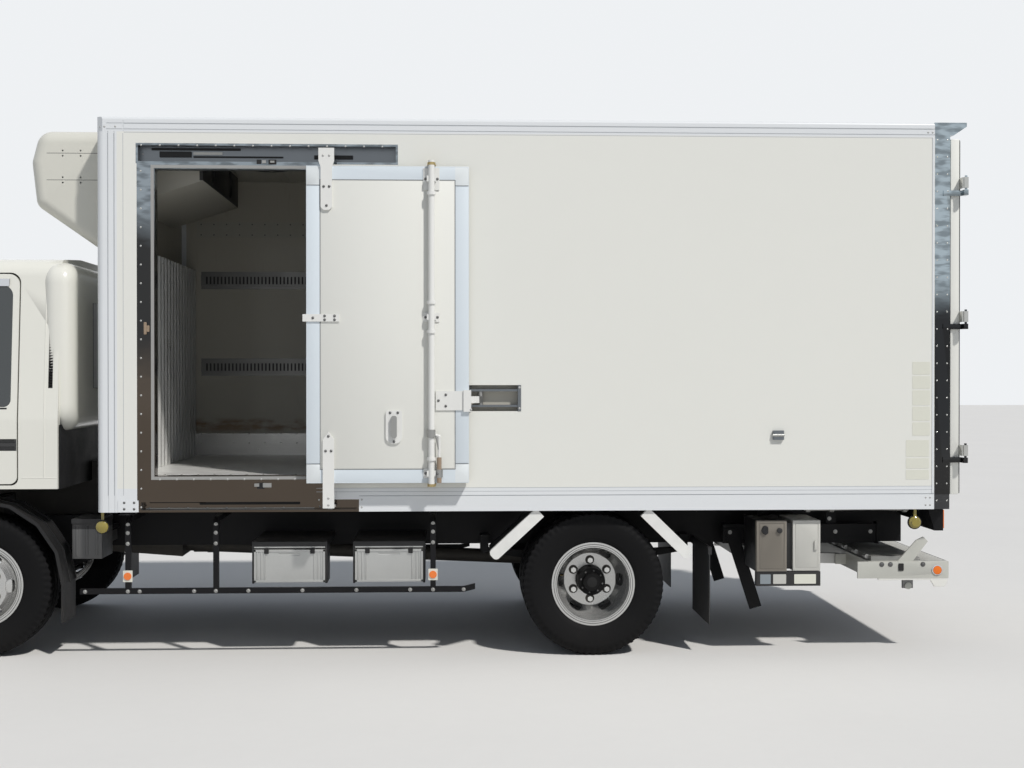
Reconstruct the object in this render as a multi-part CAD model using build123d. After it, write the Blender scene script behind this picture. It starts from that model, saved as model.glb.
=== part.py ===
from build123d import *
import math
import os

os.makedirs("parts", exist_ok=True)

# Refrigerated truck. Millimetres; +X forward, +Y to the side with the sliding door, +Z up.
# The origin is on the ground, in the middle of the length and the width.
# Sizes named ..._BACK are distances behind the front axle.

# Overall
WHEELBASE = 3430
FRONT_OVERHANG = 1110
REAR_OVERHANG = 2100
BODY_TOP = 2997
HALF_BODY = 1100
TIP_BACK = WHEELBASE + REAR_OVERHANG
FRONT_AXLE_X = (TIP_BACK - FRONT_OVERHANG) / 2
REAR_AXLE_X = FRONT_AXLE_X - WHEELBASE

# Wheels
TYRE_R = 400
TYRE_HALF = 112
TREAD_HALF = 90
BULGE_R = 345
RIM_R = 235
RIM_HALF = 88
BEAD_R = 213
BEAD_HALF = 76
RIM_BORE = 205
DISC_OFFSET = 127.5
DISC_T = 12
DISH_R = 150
HUB_HOLE_R = 82
HAND_HOLE_AT = 168
STUDS = 6
STUD_CIRCLE_R = 111
NUT_R = 16
FRONT_NUT_H = 26
REAR_NUT_H = 30
FRONT_TYRE_Y = 835
TWIN_Y = 800
DRUM_R = 178
SPINDLE_R = 34
SPINDLE_TIP_Y = 925
REAR_SPINDLE_TIP_Y = 900
FIT = 0.3

# Front axle and steering
KINGPIN_Y = 745
KINGPIN_R = 16
EYE_R = 38
EYE_HALF = 40
FORK_T = 50
AXLE_GAP = 2
STEER_ARM = 135
STEER_ARM_T = 20
BEAM_HALF = 35
BEAM_DROP = 60
BEAM_H = 80
BALL_R = 8
TIE_ROD_R = 14
TIE_EYE_R = 20
TIE_EYE_HALF = 18

# Chassis frame
FRAME_TOP = 740
FRAME_H = 180
FRAME_HALF = 400
FLANGE_W = 65
FRAME_T = 8
FRAME_FRONT_BACK = -815
FRAME_SHORT = 55
CROSS_R = 45
SPRING_W = 70
SPRING_GAP = 5

# Cargo body
EAVE_REACH = 95
EAVE_H = 72
EAVE_LIP = 22
BOX_FRONT_BACK = 685
BOX_REAR_BACK = TIP_BACK - EAVE_REACH
PORTAL_DEPTH = 87
PORTAL_SIDE = 90
PORTAL_HEAD = 117
SIDE_T = 75
ROOF_T = 83
FRONT_T = 80
FLOOR_TOP = 1015
FLOOR_T = 125
DECK_T = 5
DECK_GAP = 2
CROSSER_H = 70
CROSSER_W = 60
CROSSER_COUNT = 12
SKIRT_LIFT = 2
SKIRT_H = 131
SKIRT_T = 40
POST_W = 112
POST_ROUND = 40
RAIL_ROUND = 18
GROOVE_W = 4
GROOVE_DEEP = 3
SIDE_IN = HALF_BODY - SIDE_T
ROOF_UNDER = BODY_TOP - ROOF_T
FLOOR_UNDER = FLOOR_TOP - FLOOR_T
CROSSER_BOTTOM = FLOOR_UNDER - CROSSER_H
SKIRT_BOTTOM = CROSSER_BOTTOM + SKIRT_LIFT
SKIRT_TOP = SKIRT_BOTTOM + SKIRT_H
PORTAL_FRONT_BACK = BOX_REAR_BACK - PORTAL_DEPTH
FRONT_IN_BACK = BOX_FRONT_BACK + FRONT_T
FRAME_BOTTOM = FRAME_TOP - FRAME_H
FRAME_REAR_BACK = BOX_REAR_BACK - FRAME_SHORT

# Lining of the load space
KICK_T = 10
KICK_TOP = FLOOR_TOP + 152
LINING_T = 100
LINING_TOP = ROOF_UNDER - 614
CORRUGATION_PITCH = 100
CORRUGATION_DEEP = 25
LASHING_H = 120
LASHING_T = 12
LASHING_LEVELS = (FLOOR_TOP + 614, ROOF_UNDER - 683)
LINED_FRONT_BACK = 2000
EVAPORATOR_REACH = 435
EVAPORATOR_FRONT_H = 354
EVAPORATOR_REAR_H = 214
EVAPORATOR_HALF = 700
FAN_R = 85

# Cooling unit on the front wall
UNIT_REACH = 431
UNIT_HALF = 850
UNIT_DROP = 36
UNIT_OVER_CAB = 3
UNIT_CORNER = 120

# Side door opening
SURROUND_FRONT_BACK = 905
CLEAR_FRONT_BACK = 1003
CLEAR_REAR_BACK = 1880
SURROUND_REAR_BACK = 1935
SILL_RISE = 7
HEADER_DROP = 62
HEADER_H = 112
LINTEL_H = 29
HEADER_FRONT_BACK = 900
HEADER_REAR_BACK = 2336
TRACK_FRONT_BACK = 915
TRACK_REAR_BACK = 2120
CHANNEL_T = 12
CHANNEL_DEPTH = 60
SEAL_LIP = 8
SEAL_W = 20
SILL_TOP = FLOOR_TOP + SILL_RISE
HEADER_TOP = ROOF_UNDER - HEADER_DROP
HEADER_BOTTOM = HEADER_TOP - HEADER_H
CLEAR_TOP = HEADER_BOTTOM - LINTEL_H

# Sliding door, standing open outside the wall
SLIDER_FRONT_BACK = 1839
SLIDER_REAR_BACK = 2727
SLIDER_OVER = 9
SLIDER_UNDER = 36
SLIDER_T = 75
SLIDER_GAP = 18
SLIDER_FRAME_W = 75
SLIDER_CORNER = 105
LOCK_ROD_BACK = 2522
LOCK_ROD_R = 17
LOCK_ROD_OUT = 28
LOCK_ROD_OVER = 29
LOCK_ROD_UNDER = 18
ARM_BACK = 1955
ARM_W = 62
ARM_HEAD_W = 85
ARM_T = 12
UPPER_ARM_DOWN = 242
LOWER_ARM_UP = 281
ROLLER_R = 20
POCKET_AFTER = 2
POCKET_L = 289
POCKET_BOTTOM = 1377
POCKET_H = 145
POCKET_DEEP = 50
SLIDER_BOTTOM = SILL_TOP - SLIDER_UNDER
SLIDER_TOP = CLEAR_TOP + SLIDER_OVER
SLIDER_IN_Y = HALF_BODY + SLIDER_GAP
SLIDER_OUT_Y = SLIDER_IN_Y + SLIDER_T
POCKET_FRONT_BACK = SLIDER_REAR_BACK + POCKET_AFTER

# Rear doors
DOOR_T = 50
DOOR_SEAL = 5
DOOR_BOTTOM = 905
DOOR_UNDER_EAVE = 20
DOOR_EDGE_IN = 5
DOOR_GAP = 6
PLUG_IN = 40
PLUG_CLEAR = 8
PLUG_GAP = 16
PIN_OUT = 45
PIN_REAR = 75
HINGE_R = 14
HINGE_H = 60
HINGE_FROM_END = 250
STRAP_T = 9
REAR_ROD_R = 14
REAR_ROD_OUT = 22
DOOR_TOP = BODY_TOP - EAVE_H - DOOR_UNDER_EAVE
DOOR_IN_BACK = BOX_REAR_BACK + DOOR_SEAL
DOOR_OUT_BACK = DOOR_IN_BACK + DOOR_T
PIN_Y = HALF_BODY + PIN_OUT
PIN_BACK = BOX_REAR_BACK + PIN_REAR
HINGE_LEVELS = (DOOR_BOTTOM + HINGE_FROM_END, (DOOR_BOTTOM + DOOR_TOP) / 2, DOOR_TOP - HINGE_FROM_END)

# Cab
CAB_FRONT_BACK = -1095
CAB_REAR_BACK = 530
CAB_HALF = 1000
CAB_ROOF = BODY_TOP - 743
CAB_ROOF_HALF = 920
CAB_ROOF_FALL = 30
CAB_CROWN_HALF = 480
CAB_CROWN_R = 900
CAB_OUTLINE_OVER = 5
CAB_WAIST = 1330
CAB_BOTTOM = 945
CAB_NOSE_BOTTOM = 690
CAB_WALL = 50
GLASS_T = 6
PIVOT_BACK = -1000
PIVOT_Z = 640
PIVOT_LUG_R = 36
PIVOT_PIN_R = 18
CAB_DOOR_REAR_BACK = 231
CAB_DOOR_AXIS_BACK = -800
CAB_DOOR_AXIS_IN = 4
CAB_PIN_R = 4
CAB_KNUCKLE_R = 8
CAB_KNUCKLE_LEVELS = (1190, 1350)
CAB_DOOR_FRONT_BACK = -820
CAB_DOOR_SILL = 20
CAB_DOOR_FROM_ROOF = 104
CAB_DOOR_GAP = 8
WINDOW_FROM_DOOR = 70
HUMP_HALF = 310
HUMP_TOP = 1210
HUMP_WALL = 40
VENT_FRONT_BACK = 392
VENT_REAR_BACK = 416
VENT_BOTTOM = 1505
VENT_TOP = 1845
VENT_DEEP = 14
CAB_DOOR_AXIS_Y = CAB_HALF - CAB_DOOR_AXIS_IN
CAB_DOOR_BOTTOM = CAB_BOTTOM + CAB_DOOR_SILL
CAB_DOOR_TOP = CAB_ROOF - CAB_DOOR_FROM_ROOF
WINDOW_BOTTOM = CAB_WAIST + 70
WINDOW_TOP = CAB_DOOR_TOP - WINDOW_FROM_DOOR

# The side outline's roof, and the plan's ends and sides, stand off the form by CAB_OUTLINE_OVER, so that only one
# outline sets each face.
CAB_SIDE_TOP = CAB_ROOF + CAB_OUTLINE_OVER
CAB_SIDE = [(CAB_REAR_BACK, CAB_BOTTOM), (CAB_REAR_BACK, CAB_SIDE_TOP - 60), (CAB_REAR_BACK - 60, CAB_SIDE_TOP),
            (CAB_FRONT_BACK + 535, CAB_SIDE_TOP), (CAB_FRONT_BACK + 445, CAB_SIDE_TOP - 50),
            (CAB_FRONT_BACK + 110, CAB_WAIST - 20), (CAB_FRONT_BACK, CAB_WAIST - 150),
            (CAB_FRONT_BACK, CAB_NOSE_BOTTOM), (CAB_FRONT_BACK + 205, CAB_NOSE_BOTTOM),
            (CAB_FRONT_BACK + 525, CAB_BOTTOM)]
CAB_SIDE_RADII = (0, 60, 90, 120, 60, 60, 60, 0, 0, 0)
DOOR_SHAPE = [(CAB_DOOR_REAR_BACK, CAB_DOOR_BOTTOM), (CAB_DOOR_REAR_BACK, CAB_DOOR_TOP), (-560, CAB_DOOR_TOP),
              (CAB_DOOR_FRONT_BACK, WINDOW_BOTTOM), (CAB_DOOR_FRONT_BACK, CAB_WAIST - 190), (-620, CAB_DOOR_BOTTOM)]
WINDOW_SHAPE = [(188, WINDOW_BOTTOM), (188, WINDOW_TOP), (-530, WINDOW_TOP), (-760, WINDOW_BOTTOM)]

# Engine and driveline
ENGINE_FRONT_BACK = -330
ENGINE_REAR_BACK = 480
ENGINE_HALF = 230
ENGINE_BOTTOM = 600
ENGINE_TOP = 1140
GEARBOX_REAR_BACK = 980
SHAFT_R = 42
SHAFT_FRONT_Z = 520

# Side fittings under the body
GUARD_IN = 85
GUARD_T = 30
GUARD_Z = 375
GUARD_FRONT_BACK = 571
GUARD_SHORT = 666
STORAGE_IN = 140
STORAGE_Z = 412
STORAGE_H = 185
STAY_IN = 15
STAY_T = 35
STAY_W = 64

# Tail lift
CABINET_FROM_AXLE = 921
CABINET_IN = 50
RAIL_FRONT_REACH = 1185
RAIL_REAR_REACH = 259
LIFT_RAIL_Y = 520
LIFT_RAIL_W = 55
LIFT_RAIL_BOTTOM = 573
LIFT_RAIL_TOP = 686
LIFT_RAIL_T = 8
PIVOT_REACH = 935
LIFT_ARM_L = 475
LIFT_PIVOT_Z = 480
LIFT_ARM_FALL = 14
LIFT_ARM_Y = 440
LIFT_ARM_W = 40
LIFT_ARM_R = 30
LIFT_PIN_R = 12
PLATFORM_L = 455
PLATFORM_GAP = 37
PLATFORM_BOTTOM = 419
PLATFORM_H = 95
PLATFORM_IN = 100
LIFT_PIVOT_BACK = BOX_REAR_BACK - PIVOT_REACH
LIFT_TIP_BACK = LIFT_PIVOT_BACK + LIFT_ARM_L
LIFT_TIP_Z = LIFT_PIVOT_Z - LIFT_ARM_FALL
PLATFORM_FRONT_BACK = LIFT_TIP_BACK + PLATFORM_GAP
PLATFORM_REAR_BACK = PLATFORM_FRONT_BACK + PLATFORM_L
PLATFORM_TOP = PLATFORM_BOTTOM + PLATFORM_H
PLATFORM_HALF = HALF_BODY - PLATFORM_IN
TIE_ROD_Z = TYRE_R - EYE_HALF - AXLE_GAP - FORK_T - TIE_EYE_HALF - 2


def back(distance):
    """Gives the X of a place a distance behind the front axle."""
    return FRONT_AXLE_X - distance


def slab(front, rear, y0, y1, z0, z1):
    """A block between two distances behind the front axle."""
    return Pos(back(rear), y0, z0) * Box(rear - front, y1 - y0, z1 - z0, align=(Align.MIN, Align.MIN, Align.MIN))


def ring_slab(front, rear, y0, y1, z0, z1, width):
    """A block with a window through its width, which leaves a border of the given width."""
    hole = slab(front + width, rear - width, y0 - 1, y1 + 1, z0 + width, z1 - width)
    return slab(front, rear, y0, y1, z0, z1) - hole


def outline(points, radius=0):
    """A flat face with its corners rounded, by one radius or one for each point."""
    radii = radius if isinstance(radius, (list, tuple)) else [radius] * len(points)
    if not any(radii):
        return make_face(Polyline(*points, close=True))
    return make_face(FilletPolyline(*points, radius=list(radii), close=True))


def side_prism(points, y0, y1, radius=0):
    """A side outline of (distance back, height) points, as wide as from y0 to y1."""
    flat = outline([(back(distance), height) for distance, height in points], radius)
    return Plane(origin=(0, y1, 0), x_dir=(1, 0, 0), z_dir=(0, -1, 0)) * extrude(flat, amount=y1 - y0)


def end_prism(points, front, rear, radius=0):
    """An end outline of (y, height) points, running between two distances back."""
    flat = outline(points, radius)
    return Plane(origin=(back(rear), 0, 0), x_dir=(0, 1, 0), z_dir=(1, 0, 0)) * extrude(flat, amount=rear - front)


def plan_prism(points, z0, z1, radius=0):
    """A plan outline of (distance back, y) points, from z0 up to z1."""
    flat = outline([(back(distance), y) for distance, y in points], radius)
    return Pos(0, 0, z0) * extrude(flat, amount=z1 - z0)


def bar(radius, start, end):
    """A round bar between two (distance back, y, z) points."""
    first = Vector(back(start[0]), start[1], start[2])
    last = Vector(back(end[0]), end[1], end[2])
    run = last - first
    return Plane(origin=first, z_dir=run) * Cylinder(radius, run.length, align=(Align.CENTER, Align.CENTER, Align.MIN))


def pipe(radius, points):
    """Round tube through (distance back, y, z) points, with a slightly larger ball at each corner."""
    tube = None
    for start, end in zip(points, points[1:]):
        run = bar(radius, start, end)
        tube = run if tube is None else tube + run + Pos(back(start[0]), start[1], start[2]) * Sphere(radius + 1)
    return tube


def fused(pieces):
    """Several pieces as one."""
    total = pieces[0]
    for piece in pieces[1:]:
        total += piece
    return total


def other_side(piece):
    """The same piece on the other side of the truck."""
    return mirror(piece, Plane.XZ)


def both_sides(piece):
    """The piece and its mirror image."""
    return piece + other_side(piece)


def drawn_in(points, inset):
    """The points of an outline with every side moved inwards by an inset."""
    count = len(points)
    area = sum(points[i][0] * points[(i + 1) % count][1] - points[(i + 1) % count][0] * points[i][1]
               for i in range(count))
    inward = 1 if area > 0 else -1
    moved = []
    for i in range(count):
        before = (Vector(*points[i]) - Vector(*points[i - 1])).normalized()
        after = (Vector(*points[(i + 1) % count]) - Vector(*points[i])).normalized()
        first = Vector(-before.Y, before.X) * inward
        second = Vector(-after.Y, after.X) * inward
        corner = Vector(*points[i]) + (first + second) * (inset / (1 + first.dot(second)))
        moved.append((corner.X, corner.Y))
    return moved


def cut_corners(points, radii):
    """The points of an outline with each corner replaced by the chord of its rounding."""
    count = len(points)
    cut = []
    for i in range(count):
        corner = Vector(*points[i])
        to_last = (Vector(*points[i - 1]) - corner).normalized()
        to_next = (Vector(*points[(i + 1) % count]) - corner).normalized()
        length = radii[i] / math.tan(to_last.get_angle(to_next) * math.pi / 360)
        ends = [corner + to_last * length, corner + to_next * length] if radii[i] > 0 else [corner]
        cut += [(end.X, end.Y) for end in ends]
    return cut


def turned(points, radius=0):
    """A solid of revolution about Y of (radius, y) points, at the origin."""
    return revolve(outline(points, radius), axis=Axis.Y)


# Wheels. Each is made about the origin, with its disc on the +Y side of the rim.

def tyre():
    """A section from bead to bead: its walls lean out to the bulge and in again to the tread."""
    wall = [(BEAD_R, BEAD_HALF), (RIM_R, RIM_HALF), (BULGE_R, TYRE_HALF), (TYRE_R, TREAD_HALF)]
    return turned([(radius, -y) for radius, y in wall] + wall[::-1])


def rim():
    """The rim's bed with its flanges, and the dished disc with its oval hand holes."""
    flange = [(RIM_BORE, RIM_HALF), (RIM_R, RIM_HALF), (BEAD_R, BEAD_HALF)]
    bed = turned([(radius, -y) for radius, y in flange] + flange[::-1])
    inner = DISC_OFFSET - DISC_T
    dish = [(HUB_HOLE_R, inner), (DISH_R, inner), (RIM_BORE + 2, 45), (RIM_BORE + 2, 62), (DISH_R + 8, DISC_OFFSET),
            (HUB_HOLE_R, DISC_OFFSET)]
    solid = bed + turned(dish)
    flat = Plane(origin=(0, 0, 0), x_dir=(1, 0, 0), z_dir=(0, 1, 0))
    for place in PolarLocations(HAND_HOLE_AT, STUDS):
        solid -= flat * place * extrude(SlotCenterToCenter(34, 40, rotation=90), amount=DISC_OFFSET + 10)
    return solid


def nuts(face, height):
    """Wheel nuts standing on a disc's face."""
    flat = Plane(origin=(0, face - 1, 0), x_dir=(1, 0, 0), z_dir=(0, 1, 0))
    return [flat * place * extrude(RegularPolygon(NUT_R, 6), amount=height + 1)
            for place in PolarLocations(STUD_CIRCLE_R, STUDS, start_angle=30)]


def hub(bore_to, cap_to, flange_at, drum_from):
    """A hub and drum: its bore clears the spindle and its flange meets the wheel disc at flange_at."""
    section = [(SPINDLE_R + FIT, drum_from), (DRUM_R, drum_from), (DRUM_R, flange_at - 14), (140, flange_at),
               (HUB_HOLE_R, flange_at), (HUB_HOLE_R - 4, cap_to - 30), (55, cap_to - 30), (48, cap_to), (0, cap_to),
               (0, bore_to), (SPINDLE_R + FIT, bore_to)]
    return turned(section)


def front_wheel():
    mount = FRONT_TYRE_Y + DISC_OFFSET - DISC_T
    wheel = hub(SPINDLE_TIP_Y + 4, mount + 70, mount, FRONT_TYRE_Y - 20) + Pos(0, FRONT_TYRE_Y, 0) * rim()
    return {"front_tyre": Pos(0, FRONT_TYRE_Y, 0) * tyre(),
            "front_wheel": fused([wheel] + nuts(mount + DISC_T, FRONT_NUT_H))}


def rear_wheel():
    """Twin wheels whose discs lie back to back on one hub."""
    outer = Pos(0, TWIN_Y + DISC_OFFSET, 0) * mirror(rim(), Plane.XZ)
    inner = Pos(0, TWIN_Y - DISC_OFFSET, 0) * rim()
    tyres = Pos(0, TWIN_Y + DISC_OFFSET, 0) * tyre() + Pos(0, TWIN_Y - DISC_OFFSET, 0) * tyre()
    flange = hub(REAR_SPINDLE_TIP_Y + 4, TWIN_Y + 150, TWIN_Y - DISC_T, 610)
    return {"rear_tyres": tyres, "rear_wheels": fused([outer, inner, flange] + nuts(TWIN_Y + DISC_T, REAR_NUT_H))}


# Running gear

def front_axle_beam():
    """A dropped beam whose ends carry the kingpins."""
    low = TYRE_R - EYE_HALF - BEAM_DROP
    half = [(KINGPIN_Y, TYRE_R - EYE_HALF), (KINGPIN_Y, TYRE_R + EYE_HALF), (580, TYRE_R + EYE_HALF),
            (500, low + BEAM_H)]
    under = [(520, low), (600, TYRE_R - EYE_HALF)]
    section = half + [(-y, z) for y, z in half[::-1]] + [(-y, z) for y, z in under[::-1]] + under
    beam = end_prism(section, -BEAM_HALF, BEAM_HALF)
    for side in (-1, 1):
        place = Pos(FRONT_AXLE_X, side * KINGPIN_Y, TYRE_R)
        beam += place * Cylinder(EYE_R, 2 * EYE_HALF)
        beam += place * Cylinder(KINGPIN_R, 2 * (EYE_HALF + FORK_T))
    return beam


def knuckle():
    """A fork round the kingpin's eye, with the spindle outwards and the steering arm rearwards."""
    reach = EYE_HALF + AXLE_GAP
    web_y = KINGPIN_Y + EYE_R + 3
    web_t = 20
    solid = Pos(0, web_y + web_t / 2, 0) * Box(2 * EYE_R, web_t, 2 * (reach + FORK_T))
    for side in (-1, 1):
        level = side * (reach + FORK_T / 2)
        solid += Pos(0, KINGPIN_Y, level) * Cylinder(EYE_R, FORK_T)
        solid += Pos(0, (KINGPIN_Y + web_y) / 2, level) * Box(2 * EYE_R, web_y - KINGPIN_Y, FORK_T)
    low = -reach - FORK_T
    arm_z = low + STEER_ARM_T / 2
    solid += Pos(-STEER_ARM / 2, KINGPIN_Y, arm_z) * Box(STEER_ARM, 36, STEER_ARM_T)
    solid += Pos(-STEER_ARM, KINGPIN_Y, arm_z) * Cylinder(TIE_EYE_R, STEER_ARM_T)
    solid += Pos(-STEER_ARM, KINGPIN_Y, low - TIE_EYE_HALF) * Cylinder(BALL_R, 2 * TIE_EYE_HALF + 4)
    spindle = Cylinder(SPINDLE_R, SPINDLE_TIP_Y - web_y - web_t, align=(Align.CENTER, Align.CENTER, Align.MIN))
    solid += Pos(0, web_y + web_t, 0) * Rot(-90, 0, 0) * spindle
    solid -= Pos(0, KINGPIN_Y, 0) * Cylinder(KINGPIN_R + FIT, 4 * (reach + FORK_T))
    return Pos(FRONT_AXLE_X, 0, TYRE_R) * solid


def tie_rod():
    """The rod between the steering arms. Its right eye is opened, because the linkage there is not closed."""
    level = TIE_ROD_Z
    rod = bar(TIE_ROD_R, (STEER_ARM, -KINGPIN_Y + 12, level), (STEER_ARM, KINGPIN_Y - 12, level))
    for side, clearance in ((1, FIT), (-1, 1.0)):
        place = Pos(back(STEER_ARM), side * KINGPIN_Y, level)
        rod += place * Cylinder(TIE_EYE_R, 2 * TIE_EYE_HALF)
        rod -= place * Cylinder(BALL_R + clearance, 4 * TIE_EYE_HALF)
    return rod


def leaf_spring(axle_back, half_length, pad_z, eye_z, y0, bolt_reach):
    """One leaf pack, thick at the axle and thin at its eyes, with its clips, axle bolts and hangers."""
    y1 = y0 + SPRING_W
    x = back(axle_back)
    tip = 10
    thick = 60
    with BuildSketch(Plane(origin=(0, y1, 0), x_dir=(1, 0, 0), z_dir=(0, -1, 0))) as sketch:
        with BuildLine():
            low = ThreePointArc((x - half_length, eye_z - tip), (x, pad_z), (x + half_length, eye_z - tip))
            Line(low @ 1, (x + half_length, eye_z + tip))
            high = ThreePointArc((x + half_length, eye_z + tip), (x, pad_z + thick), (x - half_length, eye_z + tip))
            Line(high @ 1, low @ 0)
        make_face()
    pack = extrude(sketch.sketch, amount=y1 - y0)
    beside = y0 >= FRAME_HALF
    for end in (-half_length, half_length):
        pack += bar(20, (axle_back + end, y0, eye_z), (axle_back + end, y1, eye_z))
        pack += slab(axle_back + end - 25, axle_back + end + 25, FRAME_HALF if beside else y0, y1, eye_z,
                     FRAME_BOTTOM + (60 if beside else 0))
    for share in (-0.45, 0.45):
        middle = axle_back + share * half_length
        sag = share * share
        pack += slab(middle - 15, middle + 15, y0 - 4, y1 + 4, pad_z - 4 + (eye_z - tip - pad_z) * sag,
                     pad_z + thick + 6 + (eye_z + tip - pad_z - thick) * sag)
    top = pad_z + thick
    pack += slab(axle_back - bolt_reach - 12, axle_back + bolt_reach + 12, y0, y1, top - 4, top + 14)
    for distance in (axle_back - bolt_reach, axle_back + bolt_reach):
        for y in (y0 + 12, y1 - 12):
            pack += bar(8, (distance, y, pad_z - 50), (distance, y, top + 28))
    return pack


def rear_axle():
    """Tubes, final drive and spindles."""
    housing = bar(60, (WHEELBASE, -600, TYRE_R), (WHEELBASE, 600, TYRE_R))
    housing += bar(SPINDLE_R, (WHEELBASE, -REAR_SPINDLE_TIP_Y, TYRE_R), (WHEELBASE, REAR_SPINDLE_TIP_Y, TYRE_R))
    housing += bar(165, (WHEELBASE, -70, TYRE_R), (WHEELBASE, 90, TYRE_R))
    housing += bar(55, (WHEELBASE - 230, 0, TYRE_R + 20), (WHEELBASE - 60, 0, TYRE_R + 10))
    return housing


def chassis_frame():
    """Two channel rails, the tubes between them and the cab's pivots."""
    section = [(FRAME_HALF, FRAME_BOTTOM), (FRAME_HALF, FRAME_TOP), (FRAME_HALF - FLANGE_W, FRAME_TOP),
               (FRAME_HALF - FLANGE_W, FRAME_TOP - FRAME_T), (FRAME_HALF - FRAME_T, FRAME_TOP - FRAME_T),
               (FRAME_HALF - FRAME_T, FRAME_BOTTOM + FRAME_T), (FRAME_HALF - FLANGE_W, FRAME_BOTTOM + FRAME_T),
               (FRAME_HALF - FLANGE_W, FRAME_BOTTOM)]
    frame = both_sides(end_prism(section, FRAME_FRONT_BACK, FRAME_REAR_BACK))
    tube_z = FRAME_TOP - 80
    tubes = (FRAME_FRONT_BACK + 35, GEARBOX_REAR_BACK + 170, 1900, WHEELBASE - 730, WHEELBASE + 370, WHEELBASE + 870,
             FRAME_REAR_BACK - 180)
    for distance in tubes:
        frame += bar(CROSS_R, (distance, -FRAME_HALF + 2, tube_z), (distance, FRAME_HALF - 2, tube_z))
    lug_in = FRAME_HALF - 40
    lug = slab(PIVOT_BACK - PIVOT_LUG_R + 3, FRAME_FRONT_BACK + 120, lug_in, FRAME_HALF, PIVOT_Z - 65, PIVOT_Z)
    lug += bar(PIVOT_LUG_R, (PIVOT_BACK, lug_in, PIVOT_Z), (PIVOT_BACK, FRAME_HALF, PIVOT_Z))
    lug += bar(PIVOT_PIN_R, (PIVOT_BACK, FRAME_HALF - 20, PIVOT_Z), (PIVOT_BACK, FRAME_HALF + 50, PIVOT_Z))
    return frame + both_sides(lug)


def cab_lines():
    """Air and coolant lines that stand behind the cab, held to the left rail."""
    lines = None
    # distance back, y and radius of each line
    for distance, y, radius in ((585, 470, 12), (612, 520, 9), (640, 560, 14)):
        line = pipe(radius, [(distance, FRAME_HALF - 4, 680), (distance, y, 690), (distance - 10, y, 860),
                             (distance + 15, y - 60, 1000), (distance, y - 120, 1080)])
        lines = line if lines is None else lines + line
    return lines + slab(570, 660, 330, 470, 1060, 1120) + slab(600, 640, 340, 390, FRAME_TOP - 2, 1062)


def engine_block():
    block = side_prism([(ENGINE_FRONT_BACK, ENGINE_BOTTOM), (ENGINE_REAR_BACK, ENGINE_BOTTOM),
                        (ENGINE_REAR_BACK, ENGINE_TOP - 90), (ENGINE_FRONT_BACK + 90, ENGINE_TOP),
                        (ENGINE_FRONT_BACK, ENGINE_TOP - 90)], -ENGINE_HALF, ENGINE_HALF)
    block += side_prism([(ENGINE_REAR_BACK, 500), (GEARBOX_REAR_BACK, SHAFT_FRONT_Z - 60),
                         (GEARBOX_REAR_BACK, SHAFT_FRONT_Z + 70), (ENGINE_REAR_BACK, 860)], -150, 150)
    mount_y = FRAME_HALF - FLANGE_W
    for distance in (ENGINE_FRONT_BACK + 110, ENGINE_REAR_BACK - 100):
        block += slab(distance, distance + 70, -mount_y, mount_y, FRAME_TOP - 50, FRAME_TOP)
    return block


def propeller_shaft():
    return bar(SHAFT_R, (GEARBOX_REAR_BACK + 2, 0, SHAFT_FRONT_Z), (WHEELBASE - 200, 0, TYRE_R + 20))


# Fittings under the body

def fuel_tank():
    """The tank with its straps, filler neck and brackets, on the right."""
    outer = -HALF_BODY + 160
    inner = outer + 440
    front, rear = 930, 1560
    shape = [(outer, 400), (inner, 400), (inner, 720), (outer, 720)]
    tank = end_prism(shape, front, rear, 60)
    for distance in (front + 90, rear - 120):
        tank += end_prism(drawn_in(shape, -4), distance, distance + 50, 64)
        tank += slab(distance, distance + 50, inner - 20, -FRAME_HALF, 620, 700)
    return tank + bar(34, (front + 200, outer + 110, 700), (front + 200, outer + 110, 748))


def exhaust():
    muffler_y = -HALF_BODY + 480
    muffler = bar(105, (1750, muffler_y, 560), (2350, muffler_y, 560))
    muffler += pipe(28, [(1000, -200, 640), (1300, -290, 515), (1500, -300, 515), (1800, muffler_y + 20, 545)])
    muffler += pipe(28, [(2300, muffler_y, 540), (2700, muffler_y - 80, 535), (2780, muffler_y - 340, 520)])
    for distance in (1900, 2200):
        muffler += slab(distance, distance + 50, -560, -FRAME_HALF, 640, 690)
        muffler += bar(109, (distance, muffler_y, 560), (distance + 50, muffler_y, 560))
    return muffler


def battery_box():
    """Case and lid on a bracket from the left rail."""
    inner, outer = HALF_BODY - 460, HALF_BODY - 200
    case = slab(500, 666, inner, outer, 543, 742) + slab(496, 670, inner - 4, outer + 4, 742, 768)
    for distance in (520, 575, 630):
        case += slab(distance, distance + 14, outer - 1, outer + 4, 560, 730)
    return case + slab(530, 640, FRAME_HALF, inner + 1, 600, 660)


def storage_boxes():
    """Two aluminium boxes between black end plates, with upright ribs at both ends and a slot near the top."""
    inner, outer = HALF_BODY - 340, HALF_BODY - STORAGE_IN
    top = STORAGE_Z + STORAGE_H
    boxes = []
    for front, rear in ((1524, 1921), (2089, 2471)):
        boxes.append(slab(front, rear, inner, outer, STORAGE_Z, top))
        boxes.append(slab(front, rear, inner + 20, outer - 60, top, top + 8))
        boxes.append(slab(front - 12, rear + 12, FRAME_HALF, outer - 5, top + 8, top + 43))
        for edge in (front - 12, rear):
            boxes.append(slab(edge, edge + 12, inner, outer - 5, STORAGE_Z - 7, top + 43))
        for offset in (16, 36, 56):
            for edge in (front + offset, rear - offset - 8):
                boxes.append(slab(edge, edge + 8, outer - 1, outer + 4, STORAGE_Z + 6, top - 6))
    total = fused(boxes)
    for middle in (1722, 2280):
        total -= slab(middle - 60, middle + 60, outer - 3, outer + 1, top - 34, top - 22)
    return total


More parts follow.
